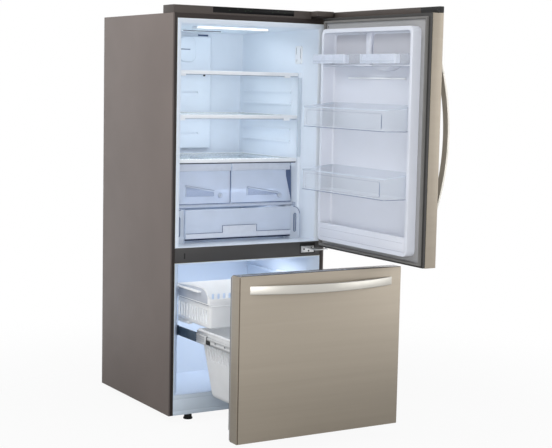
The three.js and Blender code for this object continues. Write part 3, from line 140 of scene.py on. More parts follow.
@dataclass(frozen=True)
class Finish:
    """One surface finish: its colour, gloss, grain and how they vary."""

    slot: str
    colour: tuple[int, int, int]
    roughness: float
    metallic: float = 0.0
    tone: float = 0.05
    tone_size: float = 0.12
    stretch: Point = (1.0, 1.0, 1.0)
    gloss_spread: float = 0.05
    relief: Relief = Relief.GRAIN
    relief_size: float = 0.0012
    relief_height: float = 0.08
    coat: float = 0.0
    alpha: float = 1.0
    specular: float = 0.5
    glow: float = 0.0

    def tint(self, scale: float) -> tuple[float, float, float, float]:
        """Turns the colour as seen on a screen into light values.

        Args:
            scale: how much lighter or darker than the finish's own colour.

        Returns:
            Red, green, blue and an alpha of one.
        """
        linear = [min(1.0, ((c / 255.0) ** SCREEN_GAMMA) * scale) for c in self.colour]
        return (linear[0], linear[1], linear[2], 1.0)

    def material(self, name: str) -> bpy.types.Material:
        """Builds the material, or returns the one already built.

        Args:
            name: the finish's own name.

        Returns:
            The node material.
        """
        known = bpy.data.materials.get(name)
        if known:
            return known
        made = bpy.data.materials.new(name)
        made.use_nodes = True
        tree = made.node_tree
        shader = tree.nodes["Principled BSDF"]
        shader.inputs["Metallic"].default_value = self.metallic
        shader.inputs["Coat Weight"].default_value = self.coat
        shader.inputs["Coat Roughness"].default_value = COAT_ROUGHNESS
        shader.inputs["Alpha"].default_value = self.alpha
        shader.inputs["Specular IOR Level"].default_value = self.specular
        if self.glow > 0.0:
            shader.inputs["Emission Color"].default_value = self.tint(1.0)
            shader.inputs["Emission Strength"].default_value = self.glow
        place = tree.nodes.new("ShaderNodeTexCoord")
        stretch = tree.nodes.new("ShaderNodeMapping")
        stretch.inputs["Scale"].default_value = self.stretch
        tree.links.new(place.outputs["Object"], stretch.inputs["Vector"])
        self._vary_tone(tree, shader, stretch)
        self._vary_gloss(tree, shader, stretch)
        self._raise_relief(tree, shader, stretch)
        return made

    def _noise(self, tree: Tree, source: Node, scale: float, detail: float) -> Node:
        """Adds one noise pattern.

        Args:
            tree: the material's nodes.
            source: the node that gives the place.
            scale: how fine the pattern is, per metre.
            detail: how many finer layers it holds.

        Returns:
            The noise node.
        """
        noise = tree.nodes.new("ShaderNodeTexNoise")
        noise.inputs["Scale"].default_value = scale
        noise.inputs["Detail"].default_value = detail
        tree.links.new(source.outputs["Vector"], noise.inputs["Vector"])
        return noise

    def _vary_tone(self, tree: Tree, shader: Node, source: Node) -> None:
        """Lets the colour drift a little over the surface.

        Args:
            tree: the material's nodes.
            shader: the surface.
            source: the node that gives the place.
        """
        noise = self._noise(tree, source, 1.0 / self.tone_size, TONE_DETAIL)
        ramp = tree.nodes.new("ShaderNodeValToRGB")
        dark, light = ramp.color_ramp.elements
        dark.position, light.position = TONE_STOPS
        dark.color = self.tint(1.0 - self.tone)
        light.color = self.tint(1.0 + self.tone)
        tree.links.new(noise.outputs["Fac"], ramp.inputs["Fac"])
        tree.links.new(ramp.outputs["Color"], shader.inputs["Base Color"])

    def _vary_gloss(self, tree: Tree, shader: Node, source: Node) -> None:
        """Lets the gloss drift, as handling and cleaning leave it.

        Args:
            tree: the material's nodes.
            shader: the surface.
            source: the node that gives the place.
        """
        noise = self._noise(tree, source, GLOSS_FINENESS / self.tone_size, GLOSS_DETAIL)
        spread = tree.nodes.new("ShaderNodeMapRange")
        low, high = self.roughness - self.gloss_spread, self.roughness + self.gloss_spread
        spread.inputs["To Min"].default_value = max(LEAST_ROUGHNESS, low)
        spread.inputs["To Max"].default_value = min(1.0, high)
        tree.links.new(noise.outputs["Fac"], spread.inputs["Value"])
        tree.links.new(spread.outputs["Result"], shader.inputs["Roughness"])

    def _raise_relief(self, tree: Tree, shader: Node, source: Node) -> None:
        """Adds the fine bumps of the surface.

        Args:
            tree: the material's nodes.
            shader: the surface.
            source: the node that gives the place.
        """
        if self.relief is Relief.CELLS:
            pattern = tree.nodes.new("ShaderNodeTexVoronoi")
            pattern.inputs["Scale"].default_value = 1.0 / self.relief_size
            tree.links.new(source.outputs["Vector"], pattern.inputs["Vector"])
            height = pattern.outputs["Distance"]
        else:
            grain = self._noise(tree, source, 1.0 / self.relief_size, GRAIN_DETAIL)
            height = grain.outputs["Fac"]
        bump = tree.nodes.new("ShaderNodeBump")
        bump.inputs["Strength"].default_value = self.relief_height
        bump.inputs["Distance"].default_value = self.relief_size
        tree.links.new(height, bump.inputs["Height"])
        tree.links.new(bump.outputs["Normal"], shader.inputs["Normal"])


class Finishes(Enum):
    """Every finish on the refrigerator."""

    CASE_ENAMEL = Finish("case_paint", (117, 108, 104), 0.45, 0.1, 0.05, 0.3,
                         relief_size=0.0022, relief_height=0.12, specular=0.25)
    # The case's enamel painted darker as the shade on the front hems.
    CASE_HEM_SHADE = replace(CASE_ENAMEL, colour=(98, 90, 87), roughness=0.42, metallic=0.12,
                       relief_height=0.1, specular=0.3)
    # The top hinge's own dark paint; on the face frame it is painted shade over steel of the case's
    # colour.
    FRAME_ENAMEL_AND_SHADE = Finish("frame_paint", (46, 40, 38), 0.45, 0.0, 0.08, 0.2,
                          relief_size=0.0018, relief_height=0.1, specular=0.3)
    STAINLESS = Finish("stainless", (154, 145, 132), 0.38, 0.55, 0.03, 0.05,
                       (0.06, 0.06, 2.4), 0.05, relief_size=0.004, relief_height=0.02)
    HANDLE = Finish("handle_metal", (186, 183, 176), 0.3, 0.7, 0.03, 0.06,
                    (0.3, 1.0, 1.0), 0.04, relief_size=0.008, relief_height=0.01)
    ZINC = Finish("galvanised", (178, 180, 182), 0.42, 0.7, 0.12, 0.03, gloss_spread=0.12,
                  relief=Relief.CELLS, relief_size=0.014, relief_height=0.04)
    BRIGHT_ZINC = Finish("galvanised", (206, 208, 210), 0.3, 0.8, 0.06, 0.03,
                         relief_size=0.002, relief_height=0.05)
    LINER = Finish("liner_white", (224, 233, 244), 0.34, tone=0.02, tone_size=0.3,
                   relief_size=0.0035, relief_height=0.04, coat=0.1, specular=0.35)
    # The liner's white painted bluer as the freezer's cool light.
    BLUE_LIT_LINER = replace(LINER, colour=(211, 224, 241))
    # The liner's white painted darker as shade, on the wall steps and the sill panel.
    STEP_SHADE = Finish("liner_white", (200, 212, 224), 0.4, tone=0.03, tone_size=0.2,
                        relief_size=0.0035, relief_height=0.04, specular=0.3)
    BAND = Finish("liner_white", (160, 160, 161), 0.4, tone=0.04, tone_size=0.2,
                  relief_size=0.002, relief_height=0.06, specular=0.3)
    DOOR_LINER = Finish("liner_white", (214, 218, 228), 0.34, tone=0.02, tone_size=0.25,
                        relief_size=0.0035, relief_height=0.04, coat=0.15)
    # The door liner painted greyer as the shade in the upper bays.
    BAY_SHADE = replace(DOOR_LINER, colour=(190, 191, 198), roughness=0.36, tone_size=0.2, coat=0.0)
    TRIM = Finish("trim_white", (236, 239, 243), 0.3, tone=0.02, tone_size=0.1,
                  relief_size=0.0018, relief_height=0.05, coat=0.2)
    BASKET = Finish("trim_white", (238, 240, 242), 0.36, tone=0.03, tone_size=0.08,
                    relief_size=0.003, relief_height=0.05, specular=0.35)
    # The basket's white painted darker as the shade on its side bands.
    BASKET_BAND_SHADE = replace(BASKET, colour=(188, 194, 205), roughness=0.34, tone=0.08)
    CLEAR = Finish("clear", (224, 232, 243), 0.12, tone=0.02, tone_size=0.2, gloss_spread=0.03,
                   relief_size=0.02, relief_height=0.03, alpha=0.16, specular=0.3)
    CLEAR_BLUE = replace(CLEAR, colour=(222, 233, 250), roughness=0.14, tone=0.04, tone_size=0.1,
                         alpha=0.58)
    CLEAR_EDGE = Finish("clear", (224, 233, 246), 0.16, tone=0.02, tone_size=0.1,
                        relief_size=0.01, relief_height=0.03, alpha=0.62, specular=0.4)
    FROST = Finish("clear", (222, 229, 242), 0.28, tone=0.02, tone_size=0.1,
                   relief_size=0.002, relief_height=0.04, alpha=0.8, specular=0.35)
    # Tinted plastic. Most dark pieces in this finish and its two variants are painted shade in slots,
    # openings, gaps and under edges.
    SMOKE = Finish("clear", (92, 108, 142), 0.24, tone=0.04, tone_size=0.1,
                   relief_size=0.01, relief_height=0.03, alpha=0.78, specular=0.2)
    FAINT_SHADE_AND_TINT = replace(SMOKE, colour=(146, 162, 196), alpha=0.15)
    DARK_SHADE = replace(SMOKE, colour=(30, 38, 62), roughness=0.34, tone=0.06, alpha=0.94,
                         specular=0.15)
    GLASS = Finish("shelf_glass", (214, 229, 234), 0.06, tone=0.01, tone_size=0.3,
                   gloss_spread=0.02, relief_size=0.05, relief_height=0.01, coat=0.3, alpha=0.34)
    GREY_TRIM = Finish("trim_grey", (74, 68, 65), 0.46, tone=0.06, tone_size=0.12,
                       relief_size=0.0012, relief_height=0.12, specular=0.3)
    RAIL_GREY = Finish("trim_grey", (68, 67, 67), 0.42, 0.0, tone=0.06, tone_size=0.2,
                       relief_size=0.0014, relief_height=0.1, specular=0.3)
    TOP_TRIM = Finish("stainless", (66, 62, 60), 0.2, 0.5, tone=0.2, tone_size=0.06,
                      relief_size=0.002, relief_height=0.05, coat=0.5)
    # Steel painted dark as the shade and dark reflection on the drawer's front corner.
    BEND = Finish("stainless", (88, 78, 66), 0.4, 0.4, tone=0.12, tone_size=0.1,
                  relief_size=0.003, relief_height=0.03)
    DISPLAY = Finish("display_black", (13, 13, 14), 0.3, tone=0.1, tone_size=0.1,
                     gloss_spread=0.04, relief_size=0.01, relief_height=0.01, specular=0.18)
    MARKS = Finish("display_black", (62, 82, 62), 0.4, tone=0.05, tone_size=0.02,
                   relief_size=0.002, relief_height=0.02, specular=0.2)
    BLACK = Finish("black_plastic", (30, 30, 30), 0.5, tone=0.12, tone_size=0.05,
                   relief_size=0.0012, relief_height=0.16, specular=0.3)
    GASKET = Finish("gasket", (112, 111, 109), 0.62, tone=0.05, tone_size=0.06,
                    relief_size=0.0016, relief_height=0.1, specular=0.3)
    # Dark ring for the seam between gasket and door skin, with the shade there painted in.
    SEAM = replace(GASKET, colour=(52, 51, 50), roughness=0.6, tone=0.06, specular=0.5)
    FOAM = Finish("foam", (230, 217, 168), 0.9, tone=0.12, tone_size=0.03,
                  relief=Relief.CELLS, relief_size=0.002, relief_height=0.5)
    LENS = Finish("light_lens", (250, 252, 255), 0.3, tone=0.01, tone_size=0.05,
                  relief_size=0.003, relief_height=0.05, glow=1.1)
    COMPRESSOR = Finish("compressor_steel", (34, 34, 36), 0.34, 0.2, 0.1, 0.06,
                        relief_size=0.0025, relief_height=0.15)
    FINS = Finish("fin_metal", (198, 203, 208), 0.36, 0.8, 0.06, 0.04, (1.0, 1.0, 8.0),
                  relief_size=0.002, relief_height=0.06)
    # Slide steel painted dark blue-grey as the shade it lies in inside the freezer.
    SLIDE_SHADE = Finish("slide_steel", (52, 70, 88), 0.34, 0.3, 0.3, 0.02,
                        relief_size=0.002, relief_height=0.06)

    def material(self) -> bpy.types.Material:
        """Returns this finish's material."""
        return self.value.material(f"finish_{self.name.lower()}")


# ---- the bench
# How near two points of a copied solid are one, in millimetres, and up to which turn,
# in degrees, its facets are one flat face.
MERGE_DISTANCE = 0.02
FLAT_TURN = 0.8


def put_down() -> None:
    """Leaves edit mode and lets go of everything."""
    active = bpy.context.view_layer.objects.active
    if active is not None and active.mode != "OBJECT":
        bpy.ops.object.mode_set(mode="OBJECT")
    bpy.ops.object.select_all(action="DESELECT")


def pick_up(obj: bpy.types.Object) -> None:
    """Selects one object alone and makes it the active one.

    Args:
        obj: the object.
    """
    put_down()
    obj.select_set(True)
    bpy.context.view_layer.objects.active = obj


def rounded(xs: Span, ys: Span, radius: float, steps: int = 6) -> list[Flat]:
    """Draws a rectangle with round corners.

    Args:
        xs: its two sides.
        ys: its lower and upper edge.
        radius: the corners' radius.
        steps: how many straight runs make one corner.

    Returns:
        The outline's points, anticlockwise.
    """
    corners = ((xs[1] - radius, ys[0] + radius, -90), (xs[1] - radius, ys[1] - radius, 0),
               (xs[0] + radius, ys[1] - radius, 90), (xs[0] + radius, ys[0] + radius, 180))
    points = []
    for x, y, start in corners:
        for step in range(steps + 1):
            angle = math.radians(start + 90.0 * step / steps)
            points.append((x + radius * math.cos(angle), y + radius * math.sin(angle)))
    return points


def narrowed(span: Span, amount: float) -> Span:
    """Returns the span drawn in by an amount at both ends."""
    return (span[0] + amount, span[1] - amount)


def spaced(low: float, high: float, count: int) -> list[float]:
    """Returns the middles of `count` equal parts between two ends."""
    return [low + (high - low) * (i + 0.5) / count for i in range(count)]


class Piece:
    """One piece on the bench, in its sub-assembly's own millimetres."""

    def __init__(self, obj: bpy.types.Object) -> None:
        """Takes over an object whose place is in its mesh."""
        self.obj = obj

    # ---- starts
    @classmethod
    def block(cls, xs: Span, ys: Span, zs: Span) -> "Piece":
        """Starts from a block.

        Args:
            xs: its extent from left to right.
            ys: its extent from front to back.
            zs: its extent upwards.

        Returns:
            The new piece.
        """
        put_down()
        spans = (xs, ys, zs)
        bpy.ops.mesh.primitive_cube_add(
            size=1.0, location=[(a + b) / 2 for a, b in spans], scale=[b - a for a, b in spans])
        bpy.ops.object.transform_apply(location=True, rotation=True, scale=True)
        return cls(bpy.context.object)

    @classmethod
    def drum(cls, radius: float, axis: str, ends: Span, centre: Point, sides: int = 28,
             tip: float | None = None) -> "Piece":
        """Starts from a cylinder or a cone.

        Args:
            radius: at the low end.
            axis: "x", "y" or "z".
            ends: along that axis, from the centre.
            centre: the point that the axis runs through.
            sides: how many faces go round.
            tip: the radius at the high end, if it differs.

        Returns:
            The new piece.
        """
        put_down()
        turn = {"x": (0.0, math.pi / 2, 0.0), "y": (-math.pi / 2, 0.0, 0.0), "z": (0.0, 0.0, 0.0)}[axis]
        middle = Vector(centre)
        middle["xyz".index(axis)] += (ends[0] + ends[1]) / 2
        bpy.ops.mesh.primitive_cone_add(
            vertices=sides, radius1=radius, radius2=radius if tip is None else tip,
            depth=ends[1] - ends[0], location=middle, rotation=turn)
        bpy.ops.object.transform_apply(location=True, rotation=True, scale=True)
        return cls(bpy.context.object)

    @classmethod
    def slab(cls, points: Sequence[Flat], axis: str, ends: Span) -> "Piece":
        """Starts from a flat outline and draws it out along an axis.

        Args:
            points: in (x, y) for "z", in (x, z) for "y" and in (y, z) for "x".
            axis: the direction of the extrusion.
            ends: where it starts and ends.

        Returns:
            The new piece.
        """
        put_down()
        bpy.ops.mesh.primitive_circle_add(vertices=len(points), radius=1.0, fill_type="NGON")
        made = cls(bpy.context.object)
        index = "xyz".index(axis)
        for vertex, point in zip(made.obj.data.vertices, points):
            vertex.co = (*point[:index], ends[0], *point[index:])
        move = [0.0, 0.0, 0.0]
        move[index] = ends[1] - ends[0]
        made.pick_faces(lambda centre, normal: True)
        made.extrude(move)
        return made.outwards()

    @classmethod
    def copy_of(cls, node: str, home: Home) -> "Piece":
        """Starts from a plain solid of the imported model.

        Args:
            node: the solid's name.
            home: the sub-assembly that it belongs to.

        Returns:
            A merged copy with its flat faces whole.
        """
        put_down()
        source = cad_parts[node]
        obj = bpy.data.objects.new(node, source.data.copy())
        bpy.context.scene.collection.objects.link(obj)
        obj.data.transform(home.place().inverted())
        obj.data.materials.clear()
        made = cls(obj)
        made.pick_faces(lambda centre, normal: True)
        with Hands(made):
            bpy.ops.mesh.select_all(action="SELECT")
            bpy.ops.mesh.remove_doubles(threshold=MERGE_DISTANCE)
            bpy.ops.mesh.customdata_custom_splitnormals_clear()
            bpy.ops.mesh.dissolve_limited(angle_limit=math.radians(FLAT_TURN))
        return made

    # ---- choosing
    def pick_faces(self, wanted: Callable[[Vector, Vector], bool]) -> "Piece":
        """Selects faces by their centre and normal.

        Args:
            wanted: tells from a face's centre and normal whether it is taken.

        Returns:
            The piece.
        """
        mesh = self.obj.data
        chosen = [wanted(face.center, face.normal) for face in mesh.polygons]
        mesh.vertices.foreach_set("select", [False] * len(mesh.vertices))
        mesh.edges.foreach_set("select", [False] * len(mesh.edges))
        mesh.polygons.foreach_set("select", chosen)
        bpy.context.tool_settings.mesh_select_mode = (False, False, True)
        return self

    def pick_edges(self, wanted: Callable[[Vector, Vector], bool]) -> "Piece":
        """Selects edges by their two ends.

        Args:
            wanted: tells from an edge's ends whether it is taken.

        Returns:
            The piece.
        """
        mesh = self.obj.data
        at = [vertex.co for vertex in mesh.vertices]
        chosen = [wanted(at[edge.vertices[0]], at[edge.vertices[1]]) for edge in mesh.edges]
        mesh.polygons.foreach_set("select", [False] * len(mesh.polygons))
        mesh.vertices.foreach_set("select", [False] * len(mesh.vertices))
        mesh.edges.foreach_set("select", chosen)
        bpy.context.tool_settings.mesh_select_mode = (False, True, False)
        return self

    # ---- shaping
    def extrude(self, move: Sequence[float]) -> "Piece":
        """Draws the selected faces out.

        Args:
            move: how far, in millimetres.

        Returns:
            The piece.
        """
        with Hands(self):
            bpy.ops.mesh.extrude_region_move(TRANSFORM_OT_translate={"value": tuple(move)})
        return self

    def bevel(self, width: float, segments: int = 4) -> "Piece":
        """Rounds the selected edges.

        Args:
            width: of the rounding.
            segments: how many runs make it.

        Returns:
            The piece.
        """
        with Hands(self):
            bpy.ops.mesh.bevel(offset=width, segments=segments, affect="EDGES", clamp_overlap=True)
        return self

    def round_end(self, axis: str, level: float, width: float, segments: int) -> "Piece":
        """Rounds the edges around one end of the piece.

        Args:
            axis: "x", "y" or "z".
            level: where along it the end is.
            width: of the rounding.
            segments: how many runs make it.

        Returns:
            The piece.
        """
        index = "xyz".index(axis)
        self.pick_edges(lambda a, b: max(abs(a[index] - level), abs(b[index] - level)) < 0.1)
        return self.bevel(width, segments)

    def outwards(self) -> "Piece":
        """Turns all faces outwards.

        Returns:
            The piece.
        """
        with Hands(self):
            bpy.ops.mesh.select_all(action="SELECT")
            bpy.ops.mesh.normals_make_consistent(inside=False)
        return self

    def modified(self, kind: str, **settings: object) -> "Piece":
        """Adds a modifier and applies it.

        Args:
            kind: the modifier's type.
            settings: its settings by name.

        Returns:
            The piece.
        """
        pick_up(self.obj)
        modifier = self.obj.modifiers.new(kind.lower(), kind)
        for name, value in settings.items():
            setattr(modifier, name, value)
        bpy.ops.object.modifier_apply(modifier=modifier.name)
        return self

    def softened(self, width: float, segments: int = 2, angle: float = 35.0) -> "Piece":
        """Rounds every sharp edge.

        Args:
            width: of the rounding.
            segments: how many runs make it.
            angle: the least turn of a sharp edge, in degrees.

        Returns:
            The piece.
        """
        return self.modified("BEVEL", width=width, segments=segments, limit_method="ANGLE",
                             angle_limit=math.radians(angle), miter_outer="MITER_ARC")

    def joined(self, *others: "Piece") -> "Piece":
        """Takes other pieces into this object.

        Args:
            others: the pieces, which are used up.

        Returns:
            The piece.
        """
        if not others:
            return self
        pick_up(self.obj)
        for other in others:
            other.obj.select_set(True)
        bpy.ops.object.join()
        return self

    def _boolean(self, operation: str, tools: Sequence["Piece"]) -> "Piece":
        """Cuts or joins with other pieces, which are used up.

        Args:
            operation: "DIFFERENCE" or "UNION".
            tools: the other pieces.

        Returns:
            The piece.
        """
        tool = tools[0].joined(*tools[1:])
        self.modified("BOOLEAN", operation=operation, object=tool.obj, solver="EXACT",
                      use_self=len(tools) > 1)
        bpy.data.objects.remove(tool.obj)
        return self

    def cut(self, *tools: "Piece") -> "Piece":
        """Returns the piece with the tools cut out."""
        return self._boolean("DIFFERENCE", tools)

    def fused(self, *tools: "Piece") -> "Piece":
        """Returns the piece with the tools grown on."""
        return self._boolean("UNION", tools)

    def mirrored(self, about_x: float = MIDDLE) -> "Piece":
        """Makes the other-handed copy.

        Args:
            about_x: the middle that it is mirrored across.

        Returns:
            A new piece with its own mesh.
        """
        pick_up(self.obj)
        bpy.ops.object.duplicate()
        twin = Piece(bpy.context.object)
        with Hands(twin):
            bpy.ops.mesh.select_all(action="SELECT")
            bpy.ops.transform.resize(value=(-1, 1, 1), center_override=(about_x, 0, 0))
            bpy.ops.mesh.normals_make_consistent(inside=False)
        return twin

    def doubled(self) -> "Piece":
        """Returns the piece with its mirror image taken in."""
        return self.joined(self.mirrored())

    def other_hand(self) -> "Piece":
        """Turns the piece into its mirror image.

        Returns:
            The mirrored piece, which takes this one's stead.
        """
        twin = self.mirrored()
        bpy.data.objects.remove(self.obj)
        return twin

    # ---- finishing
    def finish(self, name: str, home: Home, finish: Finishes, replaces: Iterable[str] = (),
               angle: float = 38.0) -> "Piece":
        """Sets the piece in its place and dresses it.

        Args:
            name: the piece's name.
            home: the sub-assembly that it rides on.
            finish: its surface.
            replaces: the plain solids that it stands for.
            angle: up to which turn, in degrees, faces shade as one.

        Returns:
            The piece.
        """
        pick_up(self.obj)
        bpy.ops.object.shade_smooth_by_angle(angle=math.radians(angle))
        self.obj.name = name
        self.obj.data.name = name
        self.obj.data.transform(home.place())
        self.obj.data.materials.clear()
        self.obj.data.materials.append(finish.material())
        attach(self.obj, home.value)
        if replaces:
            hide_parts(*replaces)
        LOG.info("%s: %d faces, %s", name, len(self.obj.data.polygons), finish.name.lower())
        return self


class Hands:
    """Holds one piece in edit mode, with its selection kept."""

    def __init__(self, piece: Piece) -> None:
        """Remembers the piece."""
        self.piece = piece

    def __enter__(self) -> None:
        """Takes the piece in hand."""
        pick_up(self.piece.obj)
        bpy.ops.object.mode_set(mode="EDIT")

    def __exit__(self, *error: object) -> None:
        """Puts the piece down again."""
        bpy.ops.object.mode_set(mode="OBJECT")


def keep(node: str, finish: Finishes) -> None:
    """Dresses a plain solid that stays as it is.

    Args:
        node: the solid's name.
        finish: its surface.
    """
    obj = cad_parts[node]
    obj.data.materials.clear()
    obj.data.materials.append(finish.material())
    LOG.info("%s: kept, %s", node, finish.name.lower())


def eased(node: str, home: Home, finish: Finishes, width: float = 0.6, segments: int = 2) -> Piece:
    """Copies a plain solid, rounds its edges and puts it in the solid's stead.

    Args:
        node: the solid's name.
        home: the sub-assembly that it belongs to.
        finish: its surface.
        width: of the rounding.
        segments: how many runs make it.

    Returns:
        The finished piece.
    """
    piece = Piece.copy_of(node, home).softened(width, segments)
    return piece.finish(f"{node}_shell", home, finish, [node])


# A screw head's rounding and slot depth by its height, and its slot's half length
# and half width by its radius.
HEAD_ROUNDING, SLOT_DEPTH, SLOT_LENGTH, SLOT_WIDTH = 0.6, 0.45, 0.62, 0.14


def screw_head(at: Point, axis: str, toward: float, radius: float = 4.2, height: float = 1.6) -> Piece:
    """Makes one domed cross-slot screw head.

    Args:
        at: the middle of the seat that it lies on.
        axis: the screw's axis, "x", "y" or "z".
        toward: 1 if the head stands up along the axis, -1 if against it.
        radius: of the head.
        height: of the head.

    Returns:
        The unfinished head.
    """
    ends = (0.0, height) if toward > 0 else (-height, 0.0)
    head = Piece.drum(radius, axis, ends, at, 20)
    index = "xyz".index(axis)
    crown = at[index] + toward * height
    head.round_end(axis, crown, height * HEAD_ROUNDING, 3)
    long, short = radius * SLOT_LENGTH, radius * SLOT_WIDTH
    across = [i for i in range(3) if i != index]
    for reaches in ((long, short), (short, long)):
        spans = [(0.0, 0.0)] * 3
        for i, reach in zip(across, reaches):
            spans[i] = (at[i] - reach, at[i] + reach)
        spans[index] = tuple(sorted((crown - toward * height * SLOT_DEPTH, crown + toward)))
        head.cut(Piece.block(*spans))
    return head


def screws(places: Iterable[Point], axis: str, toward: float, radius: float = 4.2) -> Piece:
    """Makes a set of like screw heads in one piece.

    Args:
        places: the seat of each head.
        axis: their axis.
        toward: 1 or -1, the way that they stand up along it.
        radius: of each head.

    Returns:
        The unfinished heads.
    """
    heads = [screw_head(place, axis, toward, radius) for place in places]
    return heads[0].joined(*heads[1:])


# ---- the cabinet
# The fresh food compartment's side walls below the upper shelf: their distance from
# the middle, and the depth from which they draw in by so much over so long a run.
WALL_HALF, TAPER_START, TAPER_FALL, TAPER_RUN = 317.0, 135.0, 20.0, 500.0
SHELF_Y: Span = (142.0, 600.0)
SIDE_GAP = 2.0
FRAME_HEIGHT = 16.0


def beside(hand: int, near: float, far: float) -> Span:
    """Returns the span between two distances from the middle, on one side of it."""
    low, high = sorted((MIDDLE + hand * near, MIDDLE + hand * far))
    return (low, high)


def slots(middles: Iterable[float], half: float, across: Span, radius: float, axis: str, ends: Span,
          steps: int = 3) -> list[Piece]:
    """Makes the cutters of a row of like slots.

    Args:
        middles: where each slot is along the row.
        half: half a slot's width.
        across: a slot's two ends.
        radius: of its corners.
        axis: the direction that it is cut in.
        ends: where the cut starts and ends.
        steps: how many straight runs make one corner.

    Returns:
        The cutters.
    """
    return [Piece.slab(rounded((at - half, at + half), across, radius, steps), axis, ends)
            for at in middles]


def fresh_wall(y: float) -> float:
    """Measures the fresh food compartment below its upper shelf.

    Args:
        y: the depth behind the face frame.

    Returns:
        Half its width there.
    """
    return WALL_HALF - TAPER_FALL * max(0.0, y - TAPER_START) / TAPER_RUN


def shelf_outline(amount: float) -> list[Flat]:
    """Draws a shelf's plan, drawn in by an amount.

    Args:
        amount: how far inside the shelf's own edge.

    Returns:
        Its four corners.
    """
    front, rear = (fresh_wall(y) - SIDE_GAP - amount for y in SHELF_Y)
    y0, y1 = narrowed(SHELF_Y, amount)
    return [(MIDDLE - front, y0), (MIDDLE + front, y0), (MIDDLE + rear, y1), (MIDDLE - rear, y1)]


def glass_frame(top: float) -> Piece:
    """Makes the moulded frame that a glass lies in.

    Args:
        top: its top.

    Returns:
        The unfinished frame.
    """
    made = Piece.slab(shelf_outline(0.0), "z", (top - FRAME_HEIGHT, top))
    made.cut(Piece.slab(shelf_outline(14.0), "z", (top - 20.0, top + 2.0)))
    made.cut(Piece.slab(shelf_outline(8.0), "z", (top - 6.0, top + 2.0)))
    return made.softened(1.2, 3, 40.0)


def glass_pane(top: float) -> Piece:
    """Makes the glass that lies in such a frame.

    Args:
        top: the frame's top.

    Returns:
        The unfinished pane.
    """
    return Piece.slab(shelf_outline(8.3), "z", (top - 5.7, top - 1.7)).softened(0.5, 2)


